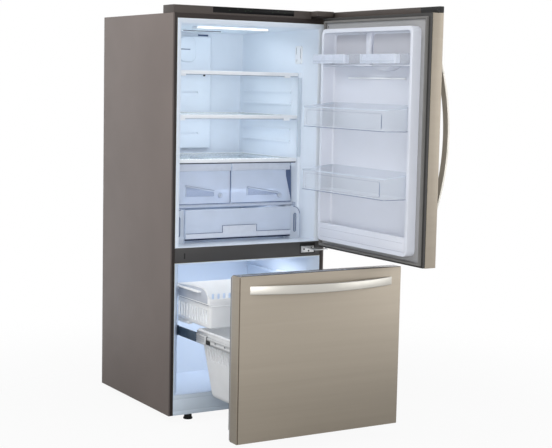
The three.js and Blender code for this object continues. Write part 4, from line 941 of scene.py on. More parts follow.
@dataclass
class Cabinet:
    """The folded case with its face frame, back and base."""

    width: float = 756.0
    top: float = 1709.0
    bottom: float = 30.0
    bar: float = 20.0
    hem: float = 6.0
    back: Span = (694.3, 696.3)
    split: float = 300.0
    opening: Span = (20.3, 735.7)
    gland: Flat = (664.0, 150.0)
    seat: float = 694.5

    def build(self) -> None:
        """Builds the case, the frame around the openings and the back."""
        eased("outer_case", Home.CABINET, Finishes.CASE_ENAMEL, 1.6, 3)
        keep("insulation", Finishes.FOAM)
        eased("base_pan", Home.CABINET, Finishes.ZINC, 0.6)
        self.face()
        self.mullion()
        self.sill()
        self.back_sheet()
        self.machine_cover()

    def face(self) -> None:
        """Makes the case's two upright hems and the dark frame around the openings; the hems are a darker
        copy of the case's enamel and the frame is the case's steel painted dark, both as painted shade.
        """
        w, t = self.width, self.top
        for side, xs in (("left", (0.0, self.hem)), ("right", (w - self.hem, w))):
            hem = Piece.block(xs, (0.0, 1.5), (self.bottom, t)).softened(0.5, 2)
            hem.finish(f"face_hem_{side}", Home.CABINET, Finishes.CASE_HEM_SHADE, ["face_frame"])
        # The frame is the case's steel painted dark as shade.
        near, far = self.hem, self.bar
        points = [(near, self.bottom), (far, self.bottom), (far, t - far), (w - far, t - far),
                  (w - far, self.bottom), (w - near, self.bottom), (w - near, t), (near, t)]
        Piece.slab(points, "y", (0.3, 1.5)).softened(0.3, 2).finish(
            "face_bar", Home.CABINET, Finishes.FRAME_ENAMEL_AND_SHADE, ["face_frame"])

    def mullion(self) -> None:
        """Makes the rail between the compartments, its plug and the hinge's dark seat."""
        Piece.block(self.opening, (0.0, 45.0), (676.6, 740.4)).softened(2.0, 3).finish(
            "mullion_shell", Home.CABINET, Finishes.RAIL_GREY, ["mullion_rail"])
        Piece.block((62.5, 68.5), (-0.7, 0.5), (694.0, 718.0)).softened(0.5, 2).finish(
            "mullion_plug", Home.CABINET, Finishes.BLACK)
        Piece.block((632.0, 710.0), (-0.22, 0.3), (688.0, 735.0)).softened(0.08, 1).finish(
            "hinge_seat", Home.CABINET, Finishes.BLACK)

    def sill(self) -> None:
        """Makes the light panel under the freezer's opening, with its two creases; it is painted darker
        than its own colour, as painted shade.
        """
        panel = Piece.block(self.opening, (0.0, 1.5), (self.bottom, 114.7))
        panel.cut(*[Piece.block((15.0, 741.0), (-1.0, 0.5), (z, z + 2.0)) for z in (96.0, 46.0)])
        # Painted darker than its own colour, as shade.
        panel.softened(0.35, 2).finish("sill_shell", Home.CABINET, Finishes.STEP_SHADE, ["sill_panel"])

    def back_sheet(self) -> None:
        """Makes the back sheet with pressed channels and screws sunk in pockets."""
        sheet = Piece.block((0.0, self.width), self.back, (self.split + 0.3, self.top)).softened(0.4, 2)
        sheet.cut(*slots((128.0, 294.0, 462.0, 628.0), 9.0, (430.0, 1580.0), 8.9, "y", (695.4, 698.0), 6))
        seats = [(x, self.seat, z) for x in (14.0, 742.0) for z in (330.0, 780.0, 1230.0, 1690.0)]
        seats += [(x, self.seat, 1690.0) for x in (260.0, 496.0)]
        sheet.cut(*self.pockets(seats)).finish("back_sheet", Home.CABINET, Finishes.ZINC, ["back_panel"])
        screws(seats, "y", 1, 4.4).finish("back_screws", Home.CABINET, Finishes.BRIGHT_ZINC)

    def pockets(self, seats: Iterable[Point]) -> list[Piece]:
        """Makes the cutters of the pockets that a sheet's screws are sunk in.

        Args:
            seats: the seat of each screw.

        Returns:
            The cutters.
        """
        return [Piece.drum(6.0, "y", (0.0, 4.0), seat, 20) for seat in seats]

    def machine_cover(self) -> None:
        """Makes the slotted cover over the machine compartment and its cord gland."""
        cover = Piece.block((0.0, self.width), self.back, (self.bottom, self.split)).softened(0.4, 2)
        cover.cut(*[Piece.slab(rounded((x - 20.0, x + 20.0), (z, z + 12.0), 5.9), "y", (693.0, 698.0))
                    for x in spaced(168.0, 588.0, 7) for z in (110.0, 190.0)])
        seats = [(x, self.seat, z) for x in (14.0, 742.0) for z in (48.0, 284.0)]
        seats.append((MIDDLE, self.seat, 284.0))
        centre = (self.gland[0], 0.0, self.gland[1])
        cover.cut(*self.pockets(seats), Piece.drum(10.2, "y", (690.0, 699.0), centre, 32))
        cover.finish("machine_sheet", Home.CABINET, Finishes.ZINC, ["machine_cover"])
        screws(seats, "y", 1, 4.4).finish("cover_screws", Home.CABINET, Finishes.BRIGHT_ZINC)
        gland = Piece.drum(10.0, "y", (686.3, self.back[1]), centre, 36)
        gland.round_end("y", self.back[1], 1.6, 3)
        gland.cut(Piece.drum(4.0, "y", (680.0, 700.0), centre, 24))
        gland.finish("cord_gland", Home.CABINET, Finishes.BLACK, ["machine_cover"])


@dataclass
class FreshFood:
    """The upper compartment: its liner, light, shelves and air outlets."""

    rear: float = 635.0
    room_half: float = 336.0
    room_z: Span = (743.0, 1670.0)
    shelf_tops: tuple[float, float] = (1478.0, 1290.0)
    cover_top: float = 1100.0

    def build(self) -> None:
        """Builds the compartment and what is fixed in it."""
        self.liner()
        self.steps()
        self.duct()
        self.outlets()
        self.light()
        self.sensor()
        for name, top in zip(("upper_shelf", "lower_shelf"), self.shelf_tops):
            self.shelf(name, top)
        glass_pane(self.cover_top).finish(
            "cover_pane", Home.CABINET, Finishes.GLASS, ["crisper_cover_glass"])

    def liner(self) -> None:
        """Rounds the moulded compartment's inner corners."""
        shell = Piece.copy_of("fridge_liner", Home.CABINET)

        def at_rear(v: Vector) -> bool:
            """Tells whether a point is on the room's rear wall."""
            inside = abs(v.x - MIDDLE) < self.room_half and self.room_z[0] < v.z < self.room_z[1]
            return inside and -0.6 < v.y - self.rear < 0.3

        shell.pick_edges(lambda a, b: at_rear(a) and at_rear(b) and abs(a.z - b.z) > 40.0)
        shell.bevel(15.0, 5)
        shell.softened(2.2, 3, 40.0)
        shell.finish("fresh_liner", Home.CABINET, Finishes.LINER, ["fridge_liner"])

    def steps(self) -> None:
        """Makes the strips of painted shade on the two steps of the side walls."""
        strip = Piece.block((690.0, 705.6), (131.0, 140.5), (1106.0, 1456.0)).softened(0.8, 2)
        strip.doubled().finish("liner_step_shade", Home.CABINET, Finishes.STEP_SHADE)

    def duct(self) -> None:
        """Makes the duct cover on the rear wall and the round-shouldered filter lid on it."""
        cover = Piece.slab(rounded((250.0, 506.0), (1120.0, 1639.0), 12.0), "y", (612.0, 634.7))
        cover.round_end("y", 612.0, 5.0, 4)
        vents = [Piece.slab(rounded((318.0, 438.0), (z - 4.0, z + 4.0), 3.9), "y", (605.0, 618.0))
                 for z in (1190.0, 1284.75, 1379.5, 1474.25)]
        cover.cut(*vents).finish("duct_shell", Home.CABINET, Finishes.LINER, ["air_duct_cover"])
        lid = Piece.slab(rounded((335.0, 421.0), (1519.0, 1636.0), 34.0, 10), "y", (606.5, 612.4))
        lid.round_end("y", 606.5, 2.4, 3)
        lid.cut(Piece.slab(rounded((341.0, 393.0), (1575.0, 1580.0), 2.4), "y", (600.0, 609.0)))
        lid.finish("filter_lid", Home.CABINET, Finishes.LINER)
        seam = Piece.slab(rounded((333.6, 422.4), (1517.6, 1637.4), 35.4, 10), "y", (611.2, 612.3))
        seam.finish("filter_seam", Home.CABINET, Finishes.STEP_SHADE)
        # A dark block painted as the shade at the bottom of the lid's slot.
        Piece.block((341.6, 392.4), (608.6, 609.4), (1575.6, 1579.4)).softened(0.3, 1).finish(
            "filter_slot_shade", Home.CABINET, Finishes.SMOKE)

    def outlets(self) -> None:
        """Makes the small air outlets at the top of the rear wall and on the ceiling; their openings are
        dark pieces of painted shade.
        """
        # Dark pieces painted as the shade inside the outlets.
        left, right = (Piece.block((x, x + 53.0), (633.4, 635.2), (1640.5, 1648.0))
                       for x in (258.0, 445.0))
        left.joined(right).softened(0.6, 2).finish("rear_outlet_shade", Home.CABINET, Finishes.SMOKE)
        bar = Piece.block((278.0, 478.0), (466.0, 492.0), (1654.6, 1660.4)).softened(1.8, 3)
        bar.finish("ceiling_outlet", Home.CABINET, Finishes.TRIM)
        # A dark strip painted as the shade in the ceiling outlet's slot.
        Piece.block((282.0, 474.0), (465.2, 466.4), (1655.8, 1658.6)).softened(0.3, 1).finish(
            "ceiling_outlet_shade", Home.CABINET, Finishes.DARK_SHADE)

    def light(self) -> None:
        """Makes the strip light: a white housing with a glowing lens along its front."""
        housing = Piece.block((200.0, 556.0), (175.0, 221.0), (1655.4, 1664.4)).softened(2.6, 3)
        housing.cut(Piece.block((205.0, 551.0), (170.0, 190.0), (1658.8, 1668.0)))
        housing.finish("light_housing", Home.CABINET, Finishes.TRIM, ["ceiling_light"])
        Piece.block((205.4, 550.6), (174.8, 189.6), (1659.2, 1664.2)).softened(1.6, 3).finish(
            "light_lens", Home.CABINET, Finishes.LENS, ["ceiling_light"])

    def sensor(self) -> None:
        """Makes the slotted sensor cover on the right wall, with its button and dark strips of painted
        shade in its slots.
        """
        plate = Piece.slab(rounded((133.0, 187.0), (1517.0, 1597.0), 9.0), "x", (701.4, 706.6))
        plate.round_end("x", 701.4, 2.0, 3)
        places = ((142.0, (1540.0, 1588.0)), (178.0, (1558.0, 1592.0)))
        plate.cut(*[Piece.slab(rounded((y - 2.6, y + 2.6), zs, 2.5), "x", (698.0, 704.0))
                    for y, zs in places])
        plate.finish("sensor_cover", Home.CABINET, Finishes.TRIM)
        # Dark strips painted as the shade deep in the two slots.
        first, second = (
            Piece.slab(rounded((y - 2.4, y + 2.4), narrowed(zs, 1.0), 2.3), "x", (703.4, 704.2))
            for y, zs in places)
        first.joined(second).finish("sensor_slot_shade", Home.CABINET, Finishes.DARK_SHADE)
        ring = Piece.drum(7.0, "x", (700.2, 702.6), (0.0, 168.0, 1533.0), 28)
        ring.cut(Piece.drum(4.0, "x", (699.0, 701.4), (0.0, 168.0, 1533.0), 24))
        ring.finish("sensor_button", Home.CABINET, Finishes.TRIM)

    def shelf(self, name: str, top: float) -> None:
        """Makes one glass shelf in its moulded frame.

        Args:
            name: the shelf's name.
            top: its top.
        """
        moulding = glass_frame(top)
        half = fresh_wall(SHELF_Y[0]) - SIDE_GAP
        hooks = [Piece.block((x, x + 30.0), (141.4, 152.0), (top - 24.0, top - 8.0)).softened(2.0, 3)
                 for x in (MIDDLE - half + 40.0, MIDDLE + half - 70.0)]
        moulding.joined(*hooks)
        moulding.finish(f"{name}_moulding", Home.CABINET, Finishes.TRIM, [f"{name}_frame"])
        glass_pane(top).finish(f"{name}_pane", Home.CABINET, Finishes.GLASS, [f"{name}_glass"])
        # A dark strip painted as the shadow under the shelf's front.
        line = Piece.block((MIDDLE - half + 2.0, MIDDLE + half - 2.0), (143.0, 155.0),
                           (top - 17.6, top - 16.1)).softened(0.4, 1)
        line.finish(f"{name}_underline", Home.CABINET, Finishes.SMOKE)
        if top == self.shelf_tops[0]:
            stud = Piece.drum(4.6, "z", (top - 24.0, top - 16.2), (224.0, 148.0, 0.0), 24)
            stud.softened(1.0, 2).finish("shelf_bumper", Home.CABINET, Finishes.BLACK)


@dataclass
class DrawerBay:
    """The housing under the lower glass with its two crispers and the wide drawer."""

    cover_top: float = 1100.0
    deck_top: float = 902.0
    deck_front: float = 168.0
    lip: float = 13.0
    leg_rear: float = 560.0
    bracket: Span = (263.72, 314.72)
    bracket_top: float = 888.0
    crisper_top: float = 1081.0
    crisper_bottom: float = 902.3
    face_y: Span = (172.0, 177.0)
    pantry_half: float = 262.22
    pantry_z: Span = (762.0, 887.5)
    pantry_y: float = 95.0

    def build(self) -> None:
        """Builds the housing and the three drawers."""
        self.cover_frame()
        self.housing()
        self.shade_gaps()
        for hand in (-1, 1):
            self.bracket_plate(hand)
            self.crisper(hand)
        self.pantry()

    def cover_frame(self) -> None:
        """Makes the moulded frame around the cover glass and the painted shadow line under its front."""
        top = self.cover_top
        glass_frame(top).finish("housing_frame", Home.CABINET, Finishes.TRIM, ["drawer_housing"])
        # A dark strip painted as the shadow under the frame's front.
        Piece.block((67.0, 689.0), (143.5, 156.0), (top - 20.5, top - 16.1)).softened(0.5, 1).finish(
            "housing_underline", Home.CABINET, Finishes.DARK_SHADE)

    def housing(self) -> None:
        """Makes the side legs, the deck with its lip, and the divider."""
        walls = []
        for hand in (-1, 1):
            for y0, zs in ((142.0, (FRESH_FLOOR, self.deck_top)), (184.0, (self.deck_top, 1085.0))):
                points = [(y0, -2.0), (self.leg_rear, -2.0), (self.leg_rear, -5.0), (y0, -5.0)]
                outline = [(MIDDLE + hand * (fresh_wall(y) + inward), y) for y, inward in points]
                walls.append(Piece.slab(outline, "z", zs))
        front, rear = fresh_wall(self.deck_front) - 3.5, fresh_wall(self.leg_rear) - 3.5
        deck = Piece.slab([(MIDDLE - front, self.deck_front), (MIDDLE + front, self.deck_front),
                           (MIDDLE + rear, self.leg_rear), (MIDDLE - rear, self.leg_rear)], "z",
                          (self.deck_top - 4.0, self.deck_top))
        deck.joined(*walls).finish("housing_walls", Home.CABINET, Finishes.CLEAR_BLUE, ["drawer_housing"])
        Piece.block((MIDDLE - front, MIDDLE + front), (self.deck_front, self.deck_front + 3.0),
                    (self.deck_top - self.lip, self.deck_top)).softened(0.9, 3).finish(
            "housing_lip", Home.CABINET, Finishes.FROST, ["drawer_housing"])
        Piece.block((373.0, 379.5), (180.0, self.leg_rear), (self.deck_top, 1085.0)).softened(
            0.8, 2).finish("housing_divider", Home.CABINET, Finishes.SMOKE, ["drawer_housing"])

    def shade_gaps(self) -> None:
        """Makes the dark strips of painted shade in the gaps beside the slanted crisper fronts."""
        gap = Piece.slab([(685.0, 903.0), (692.5, 903.0), (687.0, 1064.0), (650.0, 1064.0)], "y",
                         (178.6, 181.0))
        gap.doubled().finish("housing_gap_shade", Home.CABINET, Finishes.SMOKE)

    def bracket_plate(self, hand: int) -> None:
        """Makes one clear bracket beside the wide drawer, with its long slot.

        Args:
            hand: 1 for the right one, -1 for the left one.
        """
        near, far = self.bracket
        corner = 34.0
        arc = [(far - corner + corner * math.cos(a), self.bracket_top - corner + corner * math.sin(a))
               for a in (math.radians(i * 9.0) for i in range(11))]
        plate = Piece.slab([(MIDDLE + x, z) for x, z in [(near, FRESH_FLOOR), (far, FRESH_FLOOR), *arc,
                                                        (near, self.bracket_top)]], "y", (104.0, 145.0))
        middle = MIDDLE + (near + far) / 2.0

        def slot(grow: float, ys: Span) -> Piece:
            """Makes the slot's form, larger all round by an amount, between two depths."""
            width = narrowed((middle - 5.0, middle + 5.0), -grow)
            return Piece.slab(rounded(width, narrowed((775.8, 855.8), -grow), 4.9 + grow), "y", ys)

        plate.cut(slot(0.0, (100.0, 150.0))).softened(1.4, 3)
        loop = slot(2.2, (103.2, 104.6))
        loop.cut(slot(-0.4, (100.0, 150.0)))
        inner = [(x - (x - far + corner) * 0.07, z - (z - self.bracket_top + corner) * 0.07)
                 for x, z in reversed(arc)]
        edge = Piece.slab([(MIDDLE + x, z) for x, z in arc + inner], "y", (103.2, 104.6))
        side = "right"
        if hand < 0:
            plate, loop, edge = (part.other_hand() for part in (plate, loop, edge))
            side = "left"
        plate.finish(f"pantry_bracket_{side}", Home.CABINET, Finishes.CLEAR_EDGE, ["drawer_housing"])
        loop.joined(edge).finish(f"pantry_bracket_loop_{side}", Home.CABINET, Finishes.SMOKE)

    def crisper(self, hand: int) -> None:
        """Makes one crisper with its slanted front, grip and humidity knob.

        Args:
            hand: 1 for the right one, -1 for the left one.
        """
        low, high = self.crisper_bottom, self.crisper_top
        y0, y1 = self.face_y
        half = fresh_wall(y0) - SIDE_GAP
        inner = 0.75 if hand > 0 else 6.0

        def place(x: float) -> float:
            """Returns where a distance from the middle is on this crisper's side."""
            return MIDDLE + hand * x

        front = Piece.slab([(place(inner), low), (place(half - 3.0), low), (place(half - 42.0), 1054.0),
                            (place(inner), 1054.0)], "y", (y0, y1)).softened(1.0, 3)
        tub = Piece.slab(rounded(beside(hand, 6.0, 290.0), (y1 - 1.0, 540.0), 14.0), "z", (low, 1063.0))
        tub.round_end("z", low, 6.0, 3)
        tub.cut(Piece.slab(rounded(beside(hand, 8.5, 287.5), (y1 + 1.5, 537.5), 12.0), "z",
                           (low + 2.5, 1070.0)))
        side, home = ("right", Home.RIGHT_CRISPER) if hand > 0 else ("left", Home.LEFT_CRISPER)
        front.joined(tub).finish(f"crisper_tub_{side}", home, Finishes.CLEAR_BLUE, [f"crisper_{side}"])
        brow = Piece.slab([(place(inner), 1047.0), (place(half - 17.0), 1047.0),
                           (place(half - 20.0), high), (place(inner), high)], "y", (164.0, y0 + 1.0))
        brow.softened(1.6, 3).finish(f"crisper_rim_{side}", home, Finishes.FROST, [f"crisper_{side}"])
        spans = ((456.0, 975.0), (612.0, 948.0)) if hand > 0 else ((151.0, 986.0), (293.0, 960.0))
        (xa, za), (xb, zb) = spans
        grip = Piece.slab([(xa, za), (xb, zb), (xb, zb - 4.5), (xa, za - 4.5)], "y", (163.0, y0 + 0.5))
        grip.joined(Piece.slab([(xa, za), (xa + 3.0, za), (xa + 3.0, 936.0), (xa, 936.0)], "y",
                               (166.0, y0 + 0.5)))
        grip.softened(1.0, 2).finish(f"crisper_grip_{side}", home, Finishes.CLEAR_EDGE)
        shade = Piece.slab([(xa + 3.0, za - 6.0), (xb, zb - 6.0), (xb, 936.0), (xa + 3.0, 936.0)], "y",
                           (y0 - 0.9, y0 - 0.2))
        shade.finish(f"crisper_grip_shade_{side}", home, Finishes.FAINT_SHADE_AND_TINT)
        line = Piece.slab([(xa, za + 1.2), (xb, zb + 1.2), (xb, zb), (xa, za)], "y", (163.4, 165.0))
        foot_line = Piece.block(beside(hand, inner + 1.0, half - 6.0), (y0 - 0.6, y0 + 0.6),
                                (low + 0.4, low + 3.2))
        line.joined(foot_line).finish(f"crisper_lines_{side}", home, Finishes.SMOKE)
        x, z = (624.0, 933.0) if hand > 0 else (322.0, 939.0)
        knob = Piece.drum(9.0, "y", (165.0, y0 + 0.3), (x, 0.0, z), 36)
        knob.round_end("y", 165.0, 2.4, 3)
        knob.cut(Piece.block((x - 1.6, x + 1.6), (160.0, 166.4), (z, z + 10.0)))
        knob.finish(f"crisper_knob_{side}", home, Finishes.CLEAR_EDGE)
        collar = Piece.drum(12.5, "y", (y0 - 2.2, y0 + 0.2), (x, 0.0, z), 36)
        collar.softened(0.8, 2).finish(f"crisper_knob_collar_{side}", home, Finishes.FAINT_SHADE_AND_TINT)

    def pantry(self) -> None:
        """Makes the wide drawer with its lip and raised pull, a painted shade outline round the pull, and
        the dark strip of painted shadow along its lower edge.
        """
        (low, high), y, half = self.pantry_z, self.pantry_y, self.pantry_half
        xs = (MIDDLE - half, MIDDLE + half)
        front = Piece.block(xs, (y, y + 12.0), (low, high)).softened(3.0, 4)
        tub = Piece.slab(rounded(xs, (y + 11.0, 540.0), 14.0), "z", (low, high - 6.0))
        tub.cut(Piece.slab(rounded(narrowed(xs, 2.5), (y + 13.5, 537.5), 12.0), "z",
                           (low + 2.5, high + 2.0)))
        skids = [Piece.block((x, x + 12.0), (130.0, 540.0), (744.3, low + 1.0)) for x in
                 (xs[0], xs[1] - 12.0)]
        front.joined(tub, *skids).finish(
            "pantry_tub", Home.PANTRY, Finishes.CLEAR_BLUE, ["pantry_drawer"])
        pull = (296.0, 464.0)
        hat = [(xs[0] + 2.0, 765.0), (xs[1] - 2.0, 765.0), (xs[1] - 2.0, 785.0), (pull[1], 785.0),
               (pull[1], 815.0), (pull[0], 815.0), (pull[0], 785.0), (xs[0] + 2.0, 785.0)]
        Piece.slab(hat, "y", (y - 2.2, y + 0.4)).softened(0.8, 3).finish(
            "pantry_lip", Home.PANTRY, Finishes.FROST)
        # Dark strips painted as the shade along the raised pull's edges.
        ys = (y - 2.6, y - 1.2)
        outline = [Piece.block(run, ys, level) for run, level in (
            ((xs[0] + 2.0, pull[0]), (785.0, 786.8)), ((pull[0] - 1.8, pull[0]), (785.0, 816.8)),
            (narrowed(pull, -1.8), (815.0, 816.8)), ((pull[1], pull[1] + 1.8), (785.0, 816.8)),
            ((pull[1], xs[1] - 2.0), (785.0, 786.8)))]
        outline[0].joined(*outline[1:]).finish("pantry_pull_shade", Home.PANTRY, Finishes.SMOKE)
        # A dark strip painted as the deep shadow under the drawer's front.
        Piece.block(narrowed(xs, 2.0), (y + 1.0, y + 11.0), (low - 5.5, low + 0.4)).softened(
            1.0, 2).finish("pantry_under_shadow", Home.PANTRY, Finishes.DARK_SHADE)
        Piece.block(narrowed(xs, 1.0), (y - 0.4, y + 2.0), (high - 3.4, high)).softened(
            0.8, 2).finish("pantry_rim", Home.PANTRY, Finishes.CLEAR_EDGE)


def channel(xs: Span, ys: Span, zs: Span, web: float, lip: float) -> Piece:
    """Makes a channel that runs from front to back.

    Args:
        xs: its closed and its open side.
        ys: its front and rear.
        zs: its lower and upper edge.
        web: the thickness of its closed side.
        lip: the thickness of its two edges.

    Returns:
        The unfinished channel.
    """
    room = Piece.block((xs[0] + web, xs[1] + 1.0), narrowed(ys, -1.0), narrowed(zs, lip))
    return Piece.block(xs, ys, zs).cut(room)


@dataclass
class FreezerSpace:
    """The lower compartment with its coil cover, slides and upper basket."""

    slide_x: Span = (55.6, 65.6)
    rail_y: Span = (40.0, 420.0)
    member_y: Span = (124.0, 420.0)
    latch_y: Span = (40.0, 123.8)
    cage_y: Span = (388.0, 419.0)
    balls_y: Span = (396.0, 411.0)
    rail_z: Span = (365.0, 407.0)
    basket_y: Span = (36.0, 336.0)
    basket_z: Span = (430.0, 594.0)
    rear_top: float = 578.0
    crest_end: float = 140.0
    band: float = 66.0
    dip: float = 60.0

    def build(self) -> None:
        """Builds the compartment and all that is in it."""
        # The freezer's liner and coil cover carry the liner's white painted bluer for the cool light.
        shell = Piece.copy_of("freezer_liner", Home.CABINET).softened(3.0, 3, 40.0)
        shell.finish("freezer_shell", Home.CABINET, Finishes.BLUE_LIT_LINER, ["freezer_liner"])
        self.coil_cover()
        eased("evaporator", Home.CABINET, Finishes.FINS, 0.3, 1)
        for hand, side in ((-1, "left"), (1, "right")):
            self.slides(hand, side)
        self.upper_basket()

    def coil_cover(self) -> None:
        """Makes the cover in front of the coil."""
        cover = Piece.copy_of("freezer_duct_cover", Home.CABINET)
        cover.finish("coil_cover", Home.CABINET, Finishes.BLUE_LIT_LINER, ["freezer_duct_cover"])

    def slides(self, hand: int, side: str) -> None:
        """Makes one side's rail, running member with its latch, ball cage and stop; the rail and the
        member carry painted shade.

        Args:
            hand: 1 for the right side, -1 for the left side.
            side: its name.
        """
        (x0, x1), z0 = self.slide_x, self.rail_z[0]
        rail = channel(self.slide_x, self.rail_y, self.rail_z, 1.5, 1.5).softened(0.4, 2)
        inner_x, inner_z = (x0 + 1.8, x1), narrowed(self.rail_z, 2.0)
        member = channel(inner_x, self.member_y, inner_z, 2.0, 3.0).softened(0.5, 2)
        latch = channel(inner_x, self.latch_y, inner_z, 2.0, 3.0)
        latch.cut(*[Piece.block((x0 + 1.0, x0 + 2.7), (56.0, 125.0), (z, z + 3.6))
                    for z in (z0 + 10.0, z0 + 19.0, z0 + 28.0)])
        latch.softened(0.4, 2)
        cage = Piece.block((x0 + 3.9, x1 - 0.4), self.cage_y, narrowed(self.rail_z, 5.4))
        cage.cut(*[Piece.drum(4.6, "x", (x1 - 3.0, x1 + 3.0), (0.0, y, z), 20)
                   for y in self.balls_y for z in narrowed(self.rail_z, 14.0)])
        cage.softened(0.6, 1)
        stop = Piece.block((x0 + 2.6, x1 - 0.3), (10.0, 46.0), (z0 + 6.0, z0 + 24.0)).softened(2.4, 3)
        home = Home.LEFT_SLIDE
        if hand > 0:
            rail, member, latch, cage, stop = (
                part.other_hand() for part in (rail, member, latch, cage, stop))
            home = Home.RIGHT_SLIDE
        # The rail and running member carry the slide steel painted dark as shade.
        rail.finish(f"rail_{side}", Home.CABINET, Finishes.SLIDE_SHADE, [f"slide_rail_{side}"])
        member.finish(f"running_member_{side}", home, Finishes.SLIDE_SHADE, [f"slide_middle_{side}"])
        latch.finish(f"slide_latch_{side}", home, Finishes.BRIGHT_ZINC, [f"slide_middle_{side}"])
        cage.finish(f"ball_cage_{side}", home, Finishes.BRIGHT_ZINC)
        stop.finish(f"slide_stop_{side}", home, Finishes.BLACK)

    def basket_profile(self, grow: float) -> list[Flat]:
        """Draws what is taken off the basket's top, seen from the left.

        Args:
            grow: how far it is moved down and inwards.

        Returns:
            The outline, from the front to the rear.
        """
        y0, y1 = self.basket_y
        crest = self.basket_z[1] - grow
        dip = self.dip
        arc = [(y0 + grow + dip - dip * math.cos(a), crest - dip + dip * math.sin(a))
               for a in (math.radians(i * 9.0) for i in range(11))]
        return [(y0 - 9.0, crest - dip), *arc, (y0 + self.crest_end, crest),
                (y1 + 9.0, self.rear_top - grow), (y1 + 9.0, crest + 20.0), (y0 - 9.0, crest + 20.0)]

    def upper_basket(self) -> None:
        """Makes the upper basket with its low front, its band and its guide arms."""
        wide = (MIDDLE - 303.2, MIDDLE + 303.2)
        narrow = narrowed(wide, 8.0)
        y0, y1 = self.basket_y
        low, high = self.basket_z
        band = high - self.band
        body = Piece.slab(rounded(narrow, (y0, y1), 12.0), "z", (low, band + 1.0))
        body.round_end("z", low, 7.0, 4)
        head = Piece.slab(rounded(wide, (y0, y1), 14.0), "z", (band, high))
        body.fused(head)
        body.cut(Piece.slab(rounded(narrowed(narrow, 3.0), (y0 + 3.0, y1 - 3.0), 9.0), "z",
                            (low + 3.0, high + 2.0)))
        body.cut(Piece.slab(rounded(narrowed(wide, 3.0), (y0 + 3.0, y1 - 3.0), 11.0), "z",
                            (band + 3.0, high + 3.0)))
        body.cut(Piece.slab(self.basket_profile(0.0), "x", (wide[0] - 9.0, wide[1] + 9.0)))
        sides, rear = spaced(y0 + 24.0, y1 - 10.0, 11), spaced(wide[0] + 30.0, wide[1] - 30.0, 20)
        body.cut(*slots(sides, 6.0, (low + 17.0, band - 22.0), 4.0, "x", narrowed(wide, -5.0)))
        body.cut(*slots(rear, 6.0, (band - 36.0, band - 8.0), 4.0, "y", (y1 - 10.0, y1 + 5.0)))
        arms = []
        for hand in (-1, 1):
            arms.append(Piece.block(beside(hand, 302.2, 321.2), (y0 + 65.0, 520.0),
                                    (571.8, 578.0)).softened(1.6, 3))
            arms.append(Piece.block(beside(hand, 276.0, 298.0), (y1 - 110.0, y1 - 10.0),
                                    (419.0, 431.0)).softened(5.0, 4))
        body.joined(*arms)
        body.finish("freezer_tray", Home.BASKET, Finishes.BASKET, ["upper_basket"])
        self.tray_bands(wide, band)

    def tray_bands(self, wide: Span, band: float) -> None:
        """Makes the bands on the basket's sides, painted darker as shade, with the painted shadow line
        under them.

        Args:
            wide: the basket's two sides.
            band: the height of the bands' lower edge.
        """
        y0, y1 = self.basket_y
        xs = (wide[0] - 0.9, wide[0] + 0.4)
        # The band skins are the basket's white painted darker as shade.
        skin = Piece.block(xs, (y0 + 12.0, y1 - 8.0), (band + 5.0, self.basket_z[1] - 3.0))
        skin.cut(Piece.slab(self.basket_profile(4.0), "x", (xs[0] - 9.0, xs[1] + 9.0)))
        skin.softened(0.35, 2).doubled().finish("freezer_tray_band_shade", Home.BASKET, Finishes.BASKET_BAND_SHADE)
        # A dark strip painted as the shadow under the band's overhang.
        line = Piece.block((wide[0] + 0.6, wide[0] + 8.4), narrowed(self.basket_y, 10.0),
                           (band - 1.6, band + 0.2))
        line.softened(0.4, 2).doubled().finish("freezer_tray_shade_lines", Home.BASKET, Finishes.SMOKE)
        dip = self.basket_z[1] - self.dip
        ledge = Piece.block(narrowed(wide, 2.0), (y0 - 1.6, y0 + 1.0), (dip - 16.0, dip - 11.0))
        ledge.softened(1.2, 3).finish("freezer_tray_ledge", Home.BASKET, Finishes.BASKET)


@dataclass
class Machinery:
    """The compartment under the floor of the cabinet, at the back."""

    def build(self) -> None:
        """Builds the compressor, the condenser, the tray and the fan."""
        eased("compressor", Home.CABINET, Finishes.COMPRESSOR, 2.0, 3)
        eased("condenser", Home.CABINET, Finishes.FINS, 0.3, 1)
        eased("drain_tray", Home.CABINET, Finishes.BLACK, 1.0)
        eased("fan_motor_shroud", Home.CABINET, Finishes.BLACK, 1.0)
        eased("condenser_fan", Home.FAN, Finishes.BLACK, 0.4)


@dataclass
class TopAndHinges:
    """The covers along the top front edge, the control strip and the hinges."""

    display_z: Span = (1717.0, 1741.0)

    def build(self) -> None:
        """Builds the covers, the control strip and the hinges."""
        eased("control_cover", Home.CABINET, Finishes.GREY_TRIM, 2.0, 3)
        eased("hinge_cover", Home.CABINET, Finishes.GREY_TRIM, 3.0, 3)
        eased("top_hinge", Home.CABINET, Finishes.FRAME_ENAMEL_AND_SHADE, 0.5)
        eased("middle_hinge", Home.CABINET, Finishes.BRIGHT_ZINC, 0.6)
        self.strip()
        screws([(720.0, 70.0, 1740.2), (690.0, 70.0, 1740.2)], "z", 1, 3.6).finish(
            "hinge_cover_screws", Home.CABINET, Finishes.BLACK)
        screws([(652.0, -3.0, 708.0), (676.0, -3.0, 700.0), (690.0, -3.0, 712.0)], "y", -1, 4.0).finish(
            "middle_hinge_screws", Home.CABINET, Finishes.BLACK)

    def strip(self) -> None:
        """Makes the glossy control strip with plain dots and dashes."""
        eased("control_panel", Home.CABINET, Finishes.DISPLAY, 0.4)
        middle = sum(self.display_z) / 2.0
        marks = [Piece.block((x - 2.2, x + 2.2), (0.12, 0.62), (middle - 0.9, middle + 0.9))
                 for x in (262.0, 336.0, 362.0, 470.0, 530.0)]
        marks += [Piece.drum(1.7, "y", (0.12, 0.62), (x, 0.0, middle + 5.0), 16)
                  for x in (300.0, 349.0, 496.0)]
        marks[0].joined(*marks[1:]).finish("control_marks", Home.CABINET, Finishes.MARKS)


